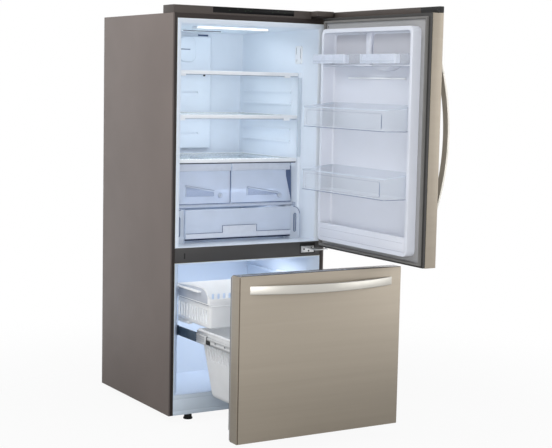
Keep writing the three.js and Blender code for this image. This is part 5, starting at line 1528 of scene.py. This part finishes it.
@dataclass
class Standing:
    """The levelling feet and the rear rollers."""

    foot_y: float = 40.0
    base_radius: float = 20.0
    cup_radius: float = 15.5
    height: float = 29.6
    flutes: int = 12
    flute_ring: float = 17.0
    flute_radius: float = 1.8

    def build(self) -> None:
        """Builds the feet and rollers."""
        self.foot("left", 112.0, Home.LEFT_FOOT)
        self.foot("right", 644.0, Home.RIGHT_FOOT)
        eased("roller_left", Home.LEFT_ROLLER, Finishes.BLACK, 0.8)
        eased("roller_right", Home.RIGHT_ROLLER, Finishes.BLACK, 0.8)

    def foot(self, side: str, x: float, home: Home) -> None:
        """Makes one foot: a cup with grip flutes on a round base, and its stud.

        Args:
            side: its name.
            x: where it stands.
            home: the sub-assembly that it is.
        """
        centre = (x, self.foot_y, 0.0)
        cup = Piece.drum(self.cup_radius + 1.5, "z", (5.0, self.height), centre, 48, self.cup_radius)
        cup.round_end("z", self.height, 1.5, 3)
        ring, turns = self.flute_ring, [math.tau * i / self.flutes for i in range(self.flutes)]
        flutes = [(x + ring * math.cos(a), self.foot_y + ring * math.sin(a), 0.0) for a in turns]
        cup.cut(*[Piece.drum(self.flute_radius, "z", (9.0, 40.0), flute, 12) for flute in flutes])
        base = Piece.drum(self.base_radius, "z", (0.0, 7.0), centre, 48)
        base.softened(1.8, 3)
        cup.joined(base).finish(f"foot_cup_{side}", home, Finishes.BLACK, [f"foot_{side}"])
        stud = Piece.copy_of(f"foot_{side}", home)
        stud.cut(Piece.block((x - 40.0, x + 40.0), (-10.0, 90.0), (-5.0, self.height)))
        stud.finish(f"foot_stud_{side}", home, Finishes.BRIGHT_ZINC, [f"foot_{side}"])


# The two sides of a door's inner plate, and its front and rear, those of the bellows
# of its gasket and those of their lip.
LEAF_X: Span = (2.0, 754.0)
PLATE_Y: Span = (-22.0, -12.0)
BELLOWS_Y: Span = (-11.7, -4.0)
LIP_Y: Span = (-4.6, -0.3)


def front_ring(xs: Span, zs: Span, width: float, ys: Span, radius: float) -> Piece:
    """Makes a flat ring that faces the front.

    Args:
        xs: its left and right edge.
        zs: its lower and upper edge.
        width: of its four sides.
        ys: its front and rear.
        radius: of its outer corners.

    Returns:
        The unfinished ring.
    """
    ring = Piece.slab(rounded(xs, zs, radius), "y", ys)
    hole = Piece.slab(rounded(narrowed(xs, width), narrowed(zs, width), max(1.0, radius - width * 0.3)),
                      "y", (ys[0] - 2.0, ys[1] + 2.0))
    return ring.cut(hole)


def bowed_strap(length: float = 660.0, bow: float = 61.7, strap: float = 9.0, foot: float = 26.0,
                steps: int = 48) -> list[Flat]:
    """Draws the bowed handle from the side.

    Args:
        length: between its ends.
        bow: how far its middle stands out.
        strap: its thickness.
        foot: how long each end rests on the panel.
        steps: how many straight runs make the bow.

    Returns:
        The outline, along the panel and away from it.
    """
    def arc(half: float, rise: float) -> list[Flat]:
        """Returns one bowed edge."""
        runs = [-1.0 + 2.0 * i / steps for i in range(steps + 1)]
        return [(t * half, -0.3 - rise * (1.0 - t * t)) for t in runs]

    return arc(length / 2.0, bow) + arc(length / 2.0 - foot, bow - strap)[::-1]


def bowed_handle(axis: str, sides: Span, middle: float, base: float) -> Piece:
    """Makes a bowed handle with rounded long edges.

    Args:
        axis: the direction across the strap, "x" if it stands and "z" if it lies.
        sides: the strap's two sides along it.
        middle: where its middle is along the panel.
        base: the panel's face.

    Returns:
        The unfinished handle.
    """
    points = [(base + out, middle + along) for along, out in bowed_strap()]
    if axis == "z":
        points = [(along, out) for out, along in points]
    index = "xyz".index(axis)

    def long_edge(a: Vector, b: Vector) -> bool:
        """Tells whether an edge runs along the strap."""
        flat = any(abs(a[index] - side) < 0.01 and abs(b[index] - side) < 0.01 for side in sides)
        return flat and min(a.y, b.y) < base - 1.0

    return Piece.slab(points, axis, sides).pick_edges(long_edge).bevel(3.0, 4)


def bellows_seal(xs: Span, zs: Span, width: float, step: float, lip: float) -> Piece:
    """Makes a soft gasket: its bellows and the lip that they carry.

    Args:
        xs: its left and right edge.
        zs: its lower and upper edge.
        width: of the bellows.
        step: how far inside them the lip begins.
        lip: the lip's width.

    Returns:
        The unfinished gasket.
    """
    bellows = front_ring(xs, zs, width, BELLOWS_Y, 4.0).softened(1.8, 3)
    tip = front_ring(narrowed(xs, step), narrowed(zs, step), lip, LIP_Y, 3.0).softened(1.4, 3)
    return bellows.joined(tip)


@dataclass
class Door:
    """The refrigerator door, drawn shut."""

    front: float = -76.3
    dyke_x: Span = (58.0, 706.0)
    dyke_z: Span = (760.0, 1664.0)
    dyke_wall: float = 16.0
    dyke_end: float = 28.0
    floor: float = -32.0
    brow_top: float = 1740.0
    pin_radius: float = 5.3
    bins_x: Span = (88.0, 688.0)
    bin_front: float = 124.0

    def build(self) -> None:
        """Builds the door and what hangs on it."""
        self.skin()
        self.cap()
        keep("door_insulation", Finishes.FOAM)
        self.flange()
        self.liner()
        self.recess_details()
        self.gasket()
        self.handle()
        for name, xs in (("outer", (96.0, 336.0)), ("hinge", (448.0, 688.0))):
            self.small_bin(name, xs)
        self.wide_bin("middle", 1251.5)
        self.wide_bin("lower", 984.0)

    def skin(self) -> None:
        """Makes the stainless skin, cut back at the brow for the dark end cap."""
        skin = Piece.copy_of("door_skin", Home.DOOR).softened(1.4, 3)
        skin.cut(Piece.block((-2.0, 14.0), (-79.0, -50.0), (1714.6, 1742.0)))
        skin.finish("door_shell", Home.DOOR, Finishes.STAINLESS, ["door_skin"])

    def cap(self) -> None:
        """Makes the cap along the brow with its black end and tip."""
        cap = Piece.copy_of("door_top_cap", Home.DOOR)
        cap.cut(Piece.block((-2.0, 120.4), (-79.0, -40.0), (1700.0, 1745.0)))
        cap.softened(1.4, 3).finish("brow_cap", Home.DOOR, Finishes.GREY_TRIM, ["door_top_cap"])
        end = Piece.block((0.0, 120.0), (-74.6, -52.6), (1714.8, self.brow_top - 0.2)).softened(2.4, 4)
        end.finish("brow_end", Home.DOOR, Finishes.BLACK, ["door_top_cap"])
        tip = Piece.block((0.0, 9.0), (-54.0, -44.0), (1714.8, 1728.0)).softened(1.6, 3)
        tip.finish("brow_tip", Home.DOOR, Finishes.BLACK)

    def flange(self) -> None:
        """Makes the inner plate's grey band, the dark ring of seam and painted shade around it, and two
        screws.
        """
        ring = front_ring(LEAF_X, (722.6, 1712.0), 60.0, PLATE_Y, 3.0)
        ring.cut(*[Piece.drum(self.pin_radius, "z", zs, (*HINGE_AXIS, 0.0), 24)
                   for zs in ((715.0, 745.0), (1688.0, 1716.0))])
        ring.softened(0.9, 2).finish("door_flange", Home.DOOR, Finishes.BAND, ["door_liner"])
        # A dark ring for the seam between gasket and skin, with the shade there painted in.
        trim = front_ring((0.8, 755.2), (721.2, 1713.4), 13.0, (-22.2, -11.8), 3.0)
        trim.softened(0.5, 1).finish("door_edge_seam_shade", Home.DOOR, Finishes.SEAM)
        screws([(717.0, -12.0, 1676.0), (749.2, -12.0, 1696.0)], "y", 1, 2.8).finish(
            "flange_screws", Home.DOOR, Finishes.BLACK)

    def liner(self) -> None:
        """Makes the moulded liner: the raised frame, the recess, the ledge and the trough."""
        xs, zs = self.dyke_x, self.dyke_z
        liner = Piece.slab(rounded(xs, zs, 26.0, 8), "y", (-35.0, self.dyke_end))
        liner.cut(Piece.slab(rounded(narrowed(xs, self.dyke_wall), narrowed(zs, self.dyke_wall), 16.0, 8),
                             "y", (self.floor, self.dyke_end + 9.0)))
        liner.round_end("y", self.dyke_end, 6.5, 5)
        liner.round_end("y", self.floor, 9.0, 4)
        inside = narrowed(xs, self.dyke_wall - 1.0)
        ledge = Piece.block(inside, (self.floor - 1.0, self.dyke_end), (1508.0, 1514.0)).softened(1.6, 3)
        wall = Piece.block(inside, (22.0, self.dyke_end), (775.0, 836.0)).softened(2.0, 3)
        roll = Piece.drum(4.6, "x", (inside[0], inside[1]), (0.0, 24.0, 832.0), 20)
        liner.joined(ledge, wall, roll)
        liner.finish("door_liner_shell", Home.DOOR, Finishes.DOOR_LINER, ["door_liner"])

    def recess_details(self) -> None:
        """Makes the bays, rib, gusset and shallow ledge in the door's recess; the bays' greyer plates and
        the line under the ledge are painted shade.
        """
        # Greyer plates painted as the shade in the upper bays.
        bays = [Piece.slab(rounded(xs, (1520.0, 1640.0), 14.0), "y", (self.floor - 0.4, self.floor + 0.8))
                for xs in ((84.0, 404.0), (446.0, 680.0))]
        bays[0].joined(bays[1]).finish("door_bay_shade", Home.DOOR, Finishes.BAY_SHADE)
        rib = Piece.block((408.0, 442.0), (self.floor - 1.0, -16.0), (1512.0, 1649.0)).softened(7.0, 4)
        rib.finish("door_rib", Home.DOOR, Finishes.DOOR_LINER)
        gusset = Piece.slab([(200.0, 1508.6), (328.0, 1508.6), (278.0, 1490.0), (256.0, 1490.0)], "y",
                            (self.floor - 1.0, self.dyke_end - 1.0)).softened(2.0, 3)
        gusset.finish("door_gusset", Home.DOOR, Finishes.DOOR_LINER)
        # A dark line painted as the shadow under the ledge.
        line = Piece.block((75.0, 689.0), (self.dyke_end - 2.0, self.dyke_end + 0.8), (1505.8, 1508.2))
        line.softened(0.6, 1).finish("door_ledge_shadow", Home.DOOR, Finishes.FAINT_SHADE_AND_TINT)
        step = Piece.block((172.0, 576.0), (self.floor - 1.0, self.floor + 9.0), (1456.0, 1463.5))
        step.softened(2.6, 3).finish("door_step", Home.DOOR, Finishes.TRIM)
        upper, lower = (Piece.block((86.0, 678.0), (self.dyke_end - 0.3, self.dyke_end + 0.5), zs)
                        for zs in ((812.0, 814.4), (776.5, 779.5)))
        upper.joined(lower).finish("trough_lines", Home.DOOR, Finishes.FAINT_SHADE_AND_TINT)

    def gasket(self) -> None:
        """Makes the soft gasket with its bellows."""
        bellows_seal((11.0, 739.0), (728.6, 1701.0), 11.0, 1.5, 7.5).finish(
            "door_seal", Home.DOOR, Finishes.GASKET, ["door_gasket"])

    def handle(self) -> None:
        """Makes the bowed upright handle."""
        bowed_handle("x", (20.0, 54.0), 1236.0, self.front).finish(
            "door_pull", Home.DOOR, Finishes.HANDLE, ["door_handle"])

    def bin_shell(self, xs: Span, bottom: float, rear: float, front: float, reach: float) -> Piece:
        """Makes an open bin whose sides fall towards the front.

        Args:
            xs: its two sides.
            bottom: its underside.
            rear: the height of its back.
            front: the height of its front.
            reach: where its front is.

        Returns:
            The unfinished bin.
        """
        back = self.floor + 0.3
        shell = Piece.slab([(back, bottom), (reach, bottom), (reach, bottom + front),
                            (back, bottom + rear)], "x", xs)
        shell.pick_edges(lambda a, b: min(a.y, b.y) > reach - 0.1 and abs(a.z - b.z) > 10.0)
        shell.bevel(8.0, 4)
        room = Piece.slab([(back + 2.5, bottom + 2.5), (reach - 2.5, bottom + 2.5),
                           (reach - 2.5, bottom + front + 9.0), (back + 2.5, bottom + rear + 9.0)], "x",
                          narrowed(xs, 2.5))
        return shell.cut(room)

    def small_bin(self, name: str, xs: Span) -> None:
        """Makes one small bin: a frosted front on a clear tray.

        Args:
            name: the end of the door that it hangs at.
            xs: its two sides.
        """
        bottom = 1517.0
        tray = self.bin_shell(xs, bottom, 42.0, 38.0, 84.0)
        tray.finish(f"small_bin_{name}", Home.DOOR, Finishes.CLEAR, [f"door_bin_small_{name}"])
        panel = Piece.block(narrowed(xs, 1.0), (82.2, 84.0), (bottom + 0.5, bottom + 38.0))
        panel.softened(0.8, 3)
        cheeks = [Piece.block((x, x + 1.8), (60.0, 83.0), (bottom + 1.0, bottom + 37.0)) for x in
                  (xs[0] + 0.2, xs[1] - 2.0)]
        panel.joined(*cheeks).finish(f"small_bin_front_{name}", Home.DOOR, Finishes.FROST)
        rail = Piece.block(narrowed(xs, 6.0), (83.6, 85.4), (bottom + 9.0, bottom + 12.0))
        rail.softened(0.8, 2).finish(f"small_bin_rail_{name}", Home.DOOR, Finishes.CLEAR_EDGE)

    def wide_bin(self, name: str, bottom: float) -> None:
        """Makes one wide clear bin with its bright rim and framed front.

        Args:
            name: the bin's level.
            bottom: its underside.
        """
        xs, reach = self.bins_x, self.bin_front
        tray = self.bin_shell(xs, bottom, 104.0, 86.0, reach)
        tray.finish(f"bin_{name}", Home.DOOR, Finishes.CLEAR, [f"door_bin_{name}"])
        rim = Piece.block(narrowed(xs, 1.5), (reach - 5.0, reach), (bottom + 80.5, bottom + 86.2))
        back = self.floor + 0.3
        for x in (xs[0], xs[1] - 4.0):
            rim.joined(Piece.slab([(back + 2.0, bottom + 98.0), (reach - 4.0, bottom + 81.0),
                                   (reach - 4.0, bottom + 86.0), (back + 2.0, bottom + 103.0)], "x",
                                  (x, x + 4.0)))
        rim.softened(1.2, 3).finish(f"bin_rim_{name}", Home.DOOR, Finishes.CLEAR_EDGE)
        panel = front_ring(narrowed(xs, 26.0), (bottom + 8.0, bottom + 72.0), 3.2,
                           (reach - 0.6, reach + 1.8), 9.0).softened(0.9, 3)
        panel.finish(f"bin_panel_{name}", Home.DOOR, Finishes.CLEAR)
        lines = Piece.block(narrowed(xs, 4.0), (reach - 2.4, reach + 0.4), (bottom - 0.2, bottom + 1.8))
        lines.joined(Piece.block((xs[0] - 0.3, xs[0] + 1.2), (back + 4.0, reach - 6.0),
                                 (bottom - 0.2, bottom + 1.8)),
                     Piece.block((xs[0] + 26.5, xs[0] + 28.0), (reach + 0.2, reach + 1.9),
                                 (bottom + 14.0, bottom + 66.0)))
        lines.finish(f"bin_lines_{name}", Home.DOOR, Finishes.SMOKE)


@dataclass
class Drawer:
    """The freezer drawer, drawn shut, with its lower basket."""

    front: float = -77.0
    raised_x: Span = (63.3, 692.7)
    raised_z: Span = (132.0, 652.6)
    basket_x: Span = (75.4, 680.6)
    basket_y: Span = (10.8, 391.0)
    basket_z: Span = (132.0, 415.3)

    def build(self) -> None:
        """Builds the drawer's front, liner, brackets and basket."""
        eased("drawer_skin", Home.DRAWER, Finishes.STAINLESS, 1.6, 3)
        keep("drawer_insulation", Finishes.FOAM)
        self.top_trim()
        self.liner()
        self.gasket()
        self.handle()
        self.brackets()
        self.lower_basket()

    def top_trim(self) -> None:
        """Makes the dark trim along the drawer's top edge and the strip of painted shade and painted dark
        reflection on the bend beside its face.
        """
        # A dark strip of painted shade and painted dark reflection on the corner bend.
        bend = Piece.block((1.4, 5.4), (-77.3, -76.0), (54.0, 699.0)).softened(0.2, 2)
        bend.finish("drawer_corner_shade", Home.DRAWER, Finishes.BEND)
        trim = Piece.block(LEAF_X, (-74.0, -23.0), (700.6, 702.4)).softened(0.8, 3)
        trim.finish("drawer_top_trim", Home.DRAWER, Finishes.TOP_TRIM)

    def liner(self) -> None:
        """Makes the inner plate with its raised field."""
        plate = front_ring(LEAF_X, (54.4, 699.0), 61.0, PLATE_Y, 3.0)
        plate.softened(0.9, 2).finish("drawer_flange", Home.DRAWER, Finishes.BAND, ["drawer_liner"])
        field = Piece.slab(rounded((60.0, 696.0), (112.0, 656.0), 20.0), "y", (-22.0, -12.5))
        raised = Piece.slab(rounded(self.raised_x, self.raised_z, 24.0, 8), "y", (-13.0, 6.0))
        raised.round_end("y", 6.0, 7.0, 5)
        field.joined(raised).finish(
            "drawer_liner_shell", Home.DRAWER, Finishes.DOOR_LINER, ["drawer_liner"])

    def gasket(self) -> None:
        """Makes the soft gasket with its bellows."""
        bellows_seal((4.0, 752.0), (93.0, 692.6), 16.0, 2.5, 10.5).finish(
            "drawer_seal", Home.DRAWER, Finishes.GASKET, ["drawer_gasket"])

    def handle(self) -> None:
        """Makes the bowed level handle."""
        bowed_handle("z", (630.0, 664.0), MIDDLE, self.front).finish(
            "drawer_pull", Home.DRAWER, Finishes.HANDLE, ["drawer_handle"])

    def brackets(self) -> None:
        """Makes the two side brackets with their holes."""
        for side, hand in (("left", -1), ("right", 1)):
            bracket = Piece.copy_of(f"drawer_bracket_{side}", Home.DRAWER)
            holes = [Piece.drum(5.0, "x", (-12.0, 12.0), (MIDDLE + hand * 309.5, y, 386.0), 20)
                     for y in (60.0, 140.0, 220.0, 300.0, 350.0)]
            bracket.cut(*holes).softened(0.4, 2)
            bracket.finish(f"bracket_{side}", Home.DRAWER, Finishes.BRIGHT_ZINC,
                           [f"drawer_bracket_{side}"])

    def cup(self, inset: float, bottom: float, top: float, radius: float) -> Piece:
        """Makes a solid that widens upwards, in the basket's proportions.

        Args:
            inset: how far inside the basket's outside.
            bottom: its underside.
            top: its upper face.
            radius: of its upright corners.

        Returns:
            The unfinished solid.
        """
        low_x, low_y = (121.4 + inset, 634.6 - inset), (18.8 + inset, 364.0 - inset)
        high_x, high_y = narrowed(self.basket_x, inset), narrowed(self.basket_y, inset)
        cup = Piece.slab(rounded(low_x, low_y, radius, 8), "z", (bottom, top))
        cup.pick_faces(lambda centre, normal: normal.z > 0.9)
        scale = [(h[1] - h[0]) / (l[1] - l[0]) for h, l in ((high_x, low_x), (high_y, low_y))]
        middle = [(l[0] + l[1]) / 2.0 for l in (low_x, low_y)]
        shift = [(h[0] + h[1]) / 2.0 - m for h, m in zip((high_x, high_y), middle)]
        with Hands(cup):
            bpy.ops.transform.resize(value=(scale[0], scale[1], 1.0), center_override=(*middle, top))
            bpy.ops.transform.translate(value=(shift[0], shift[1], 0.0))
        return cup

    def lower_basket(self) -> None:
        """Makes the deep basket: a rim, a round-bottomed body and a row of slots."""
        low, high = self.basket_z
        body = self.cup(0.0, low, high + 3.0, 28.0)
        body.round_end("z", low, 20.0, 5)
        rim = Piece.slab(rounded(narrowed(self.basket_x, -8.0), narrowed(self.basket_y, -1.0), 20.0, 8),
                         "z", (high, high + 4.0))
        body.fused(rim)
        room = self.cup(3.0, low + 3.0, high + 8.0, 25.0)
        room.round_end("z", low + 3.0, 18.0, 5)
        body.cut(room)
        zs = (high - 118.0, high - 57.0)
        sides, rear = spaced(38.0, 342.0, 14), spaced(135.0, 621.0, 20)
        body.cut(*slots(sides, 4.0, zs, 3.9, "x", (60.0, 110.0)),
                 *slots(sides, 4.0, zs, 3.9, "x", (646.0, 696.0)))
        body.cut(*slots(rear, 4.0, zs, 3.9, "y", (330.0, 392.0)))
        body.finish("deep_basket", Home.DRAWER, Finishes.BASKET, ["lower_basket"])


# ---- the stage
@dataclass(frozen=True)
class Lamp:
    """One soft lamp: where it hangs and faces in metres, its face's sides and its watts."""

    name: str
    place: Point
    target: Point
    sides: Flat
    power: float


# The studio's four lamps, and the soft light inside each bay of the cabinet.
LAMPS = (
    Lamp("key", (3.1, -2.5, 1.3), (0.1, -0.3, 0.7), (2.4, 2.4), 34.0),
    Lamp("fill", (-1.2, -2.6, 1.05), (0.3, -0.2, 0.95), (1.8, 1.6), 33.0),
    Lamp("side", (-2.2, 0.3, 3.0), (-0.4, 0.35, 1.5), (1.2, 1.2), 32.0),
    Lamp("top", (0.2, -0.6, 4.2), (0.0, 0.0, 1.0), (2.4, 2.4), 32.0),
    Lamp("fresh_glow", (-0.06, 0.32, 1.645), (-0.06, 0.4, 1.1), (0.4, 0.4), 1.0),
    Lamp("shelf_glow", (-0.06, 0.36, 1.465), (-0.06, 0.4, 1.1), (0.4, 0.4), 0.6),
    Lamp("middle_glow", (-0.06, 0.36, 1.265), (-0.06, 0.4, 0.9), (0.4, 0.4), 0.5),
    Lamp("crisper_glow", (-0.04, 0.35, 1.078), (-0.04, 0.3, 0.8), (0.5, 0.3), 1.0),
    Lamp("pantry_glow", (-0.04, 0.35, 0.894), (-0.04, 0.25, 0.7), (0.45, 0.3), 0.9),
    Lamp("freezer_glow", (-0.04, 0.25, 0.655), (-0.04, 0.3, 0.2), (0.5, 0.3), 1.6),
)


@dataclass
class Stage:
    """The floor, the lamps, the white surroundings and the camera."""

    location: Point = (-2.85465, -4.83755, 1.440)
    forward: Point = (0.51343, 0.85139, -0.10740)
    roll: float = 1.1989
    lens: float = 86.29
    sensor: float = 36.0
    floor_size: float = 14.0
    floor_grey: float = 0.5
    floor_roughness: float = 0.9
    floor_specular: float = 0.1
    floor_white: float = 0.93
    floor_fade: Span = (0.9, 2.6)
    ambient: float = 0.52

    def build(self) -> None:
        """Sets up all that isn't the refrigerator."""
        self.floor()
        self.surroundings()
        for lamp in LAMPS:
            self.hang(lamp)
        self.camera()

    def floor(self) -> None:
        """Lays the pale floor, whose own colour fades to white away from the piece."""
        put_down()
        bpy.ops.mesh.primitive_plane_add(size=self.floor_size, location=(0.0, 0.0, 0.0))
        ground = bpy.context.object
        ground.name = "floor"
        ground.data.materials.append(self.floor_paint())

    def floor_paint(self) -> bpy.types.Material:
        """Mixes the floor's paint: white to the eye near the feet and gone further out.

        Returns:
            The node material.
        """
        paint = bpy.data.materials.new("floor")
        paint.use_nodes = True
        tree = paint.node_tree
        shader = tree.nodes["Principled BSDF"]
        shader.inputs["Base Color"].default_value = (*[self.floor_grey] * 3, 1.0)
        shader.inputs["Roughness"].default_value = self.floor_roughness
        shader.inputs["Specular IOR Level"].default_value = self.floor_specular
        white = tree.nodes.new("ShaderNodeEmission")
        gone = tree.nodes.new("ShaderNodeBsdfTransparent")
        path = tree.nodes.new("ShaderNodeLightPath")
        share = tree.nodes.new("ShaderNodeMath")
        share.operation = "MULTIPLY"
        share.inputs[1].default_value = self.floor_white
        lit = tree.nodes.new("ShaderNodeMixShader")
        place = tree.nodes.new("ShaderNodeTexCoord")
        reach = tree.nodes.new("ShaderNodeVectorMath")
        reach.operation = "LENGTH"
        fade = tree.nodes.new("ShaderNodeMapRange")
        fade.interpolation_type = "SMOOTHSTEP"
        fade.inputs["From Min"].default_value = self.floor_fade[0]
        fade.inputs["From Max"].default_value = self.floor_fade[1]
        whole = tree.nodes.new("ShaderNodeMixShader")
        for source, target in (
                (path.outputs["Is Camera Ray"], share.inputs[0]), (share.outputs[0], lit.inputs["Fac"]),
                (shader.outputs["BSDF"], lit.inputs[1]), (white.outputs["Emission"], lit.inputs[2]),
                (place.outputs["Object"], reach.inputs[0]),
                (reach.outputs["Value"], fade.inputs["Value"]),
                (fade.outputs["Result"], whole.inputs["Fac"]), (lit.outputs["Shader"], whole.inputs[1]),
                (gone.outputs["BSDF"], whole.inputs[2]),
                (whole.outputs["Shader"], tree.nodes["Material Output"].inputs["Surface"])):
            tree.links.new(source, target)
        return paint

    def surroundings(self) -> None:
        """Makes the background white and the light around soft."""
        world = bpy.data.worlds.new("surroundings")
        bpy.context.scene.world = world
        world.use_nodes = True
        tree = world.node_tree
        tree.nodes.clear()
        seen = tree.nodes.new("ShaderNodeBackground")
        seen.inputs["Strength"].default_value = 1.0
        soft = tree.nodes.new("ShaderNodeBackground")
        soft.inputs["Strength"].default_value = self.ambient
        path = tree.nodes.new("ShaderNodeLightPath")
        either = tree.nodes.new("ShaderNodeMath")
        either.operation = "MAXIMUM"
        any_of = tree.nodes.new("ShaderNodeMath")
        any_of.operation = "MAXIMUM"
        mix = tree.nodes.new("ShaderNodeMixShader")
        out = tree.nodes.new("ShaderNodeOutputWorld")
        for source, target in (
                (path.outputs["Is Camera Ray"], either.inputs[0]),
                (path.outputs["Is Glossy Ray"], either.inputs[1]),
                (either.outputs[0], any_of.inputs[0]),
                (path.outputs["Is Transmission Ray"], any_of.inputs[1]),
                (any_of.outputs[0], mix.inputs["Fac"]), (soft.outputs[0], mix.inputs[1]),
                (seen.outputs[0], mix.inputs[2]), (mix.outputs[0], out.inputs["Surface"])):
            tree.links.new(source, target)
        for node in (seen, soft):
            node.inputs["Color"].default_value = (1.0, 1.0, 1.0, 1.0)

    def hang(self, lamp: Lamp) -> None:
        """Hangs one soft lamp.

        Args:
            lamp: what it is and where it hangs.
        """
        put_down()
        bpy.ops.object.light_add(type="AREA", location=lamp.place)
        made = bpy.context.object
        made.name = lamp.name
        made.data.shape = "RECTANGLE"
        made.data.size, made.data.size_y = lamp.sides
        made.data.energy = lamp.power
        toward = Vector(lamp.target) - Vector(lamp.place)
        made.rotation_euler = toward.to_track_quat("-Z", "Y").to_euler()
        made.visible_camera = False

    def camera(self) -> None:
        """Sets the camera at the photograph's view."""
        ahead = Vector(self.forward).normalized()
        right = ahead.cross(Vector((0, 0, 1))).normalized()
        above = right.cross(ahead)
        turn = math.radians(self.roll)
        across = right * math.cos(turn) + above * math.sin(turn)
        upward = above * math.cos(turn) - right * math.sin(turn)
        put_down()
        bpy.ops.object.camera_add()
        camera = bpy.context.object
        camera.name = "view"
        camera.data.lens = self.lens
        camera.data.sensor_width = self.sensor
        camera.matrix_world = Matrix((
            (across.x, upward.x, -ahead.x, self.location[0]),
            (across.y, upward.y, -ahead.y, self.location[1]),
            (across.z, upward.z, -ahead.z, self.location[2]),
            (0.0, 0.0, 0.0, 1.0)))
        scene = bpy.context.scene
        scene.camera = camera
        scene.view_settings.view_transform = "Standard"


def main() -> None:
    """Builds every sub-assembly in order, then the stage."""
    logging.basicConfig(level=logging.INFO, format="%(message)s")
    for part in (Cabinet(), FreshFood(), DrawerBay(), FreezerSpace(), Machinery(), TopAndHinges(),
                 Standing(), Door(), Drawer(), Stage()):
        LOG.info("building %s", type(part).__name__)
        part.build()


if __name__ == "__main__":
    main()
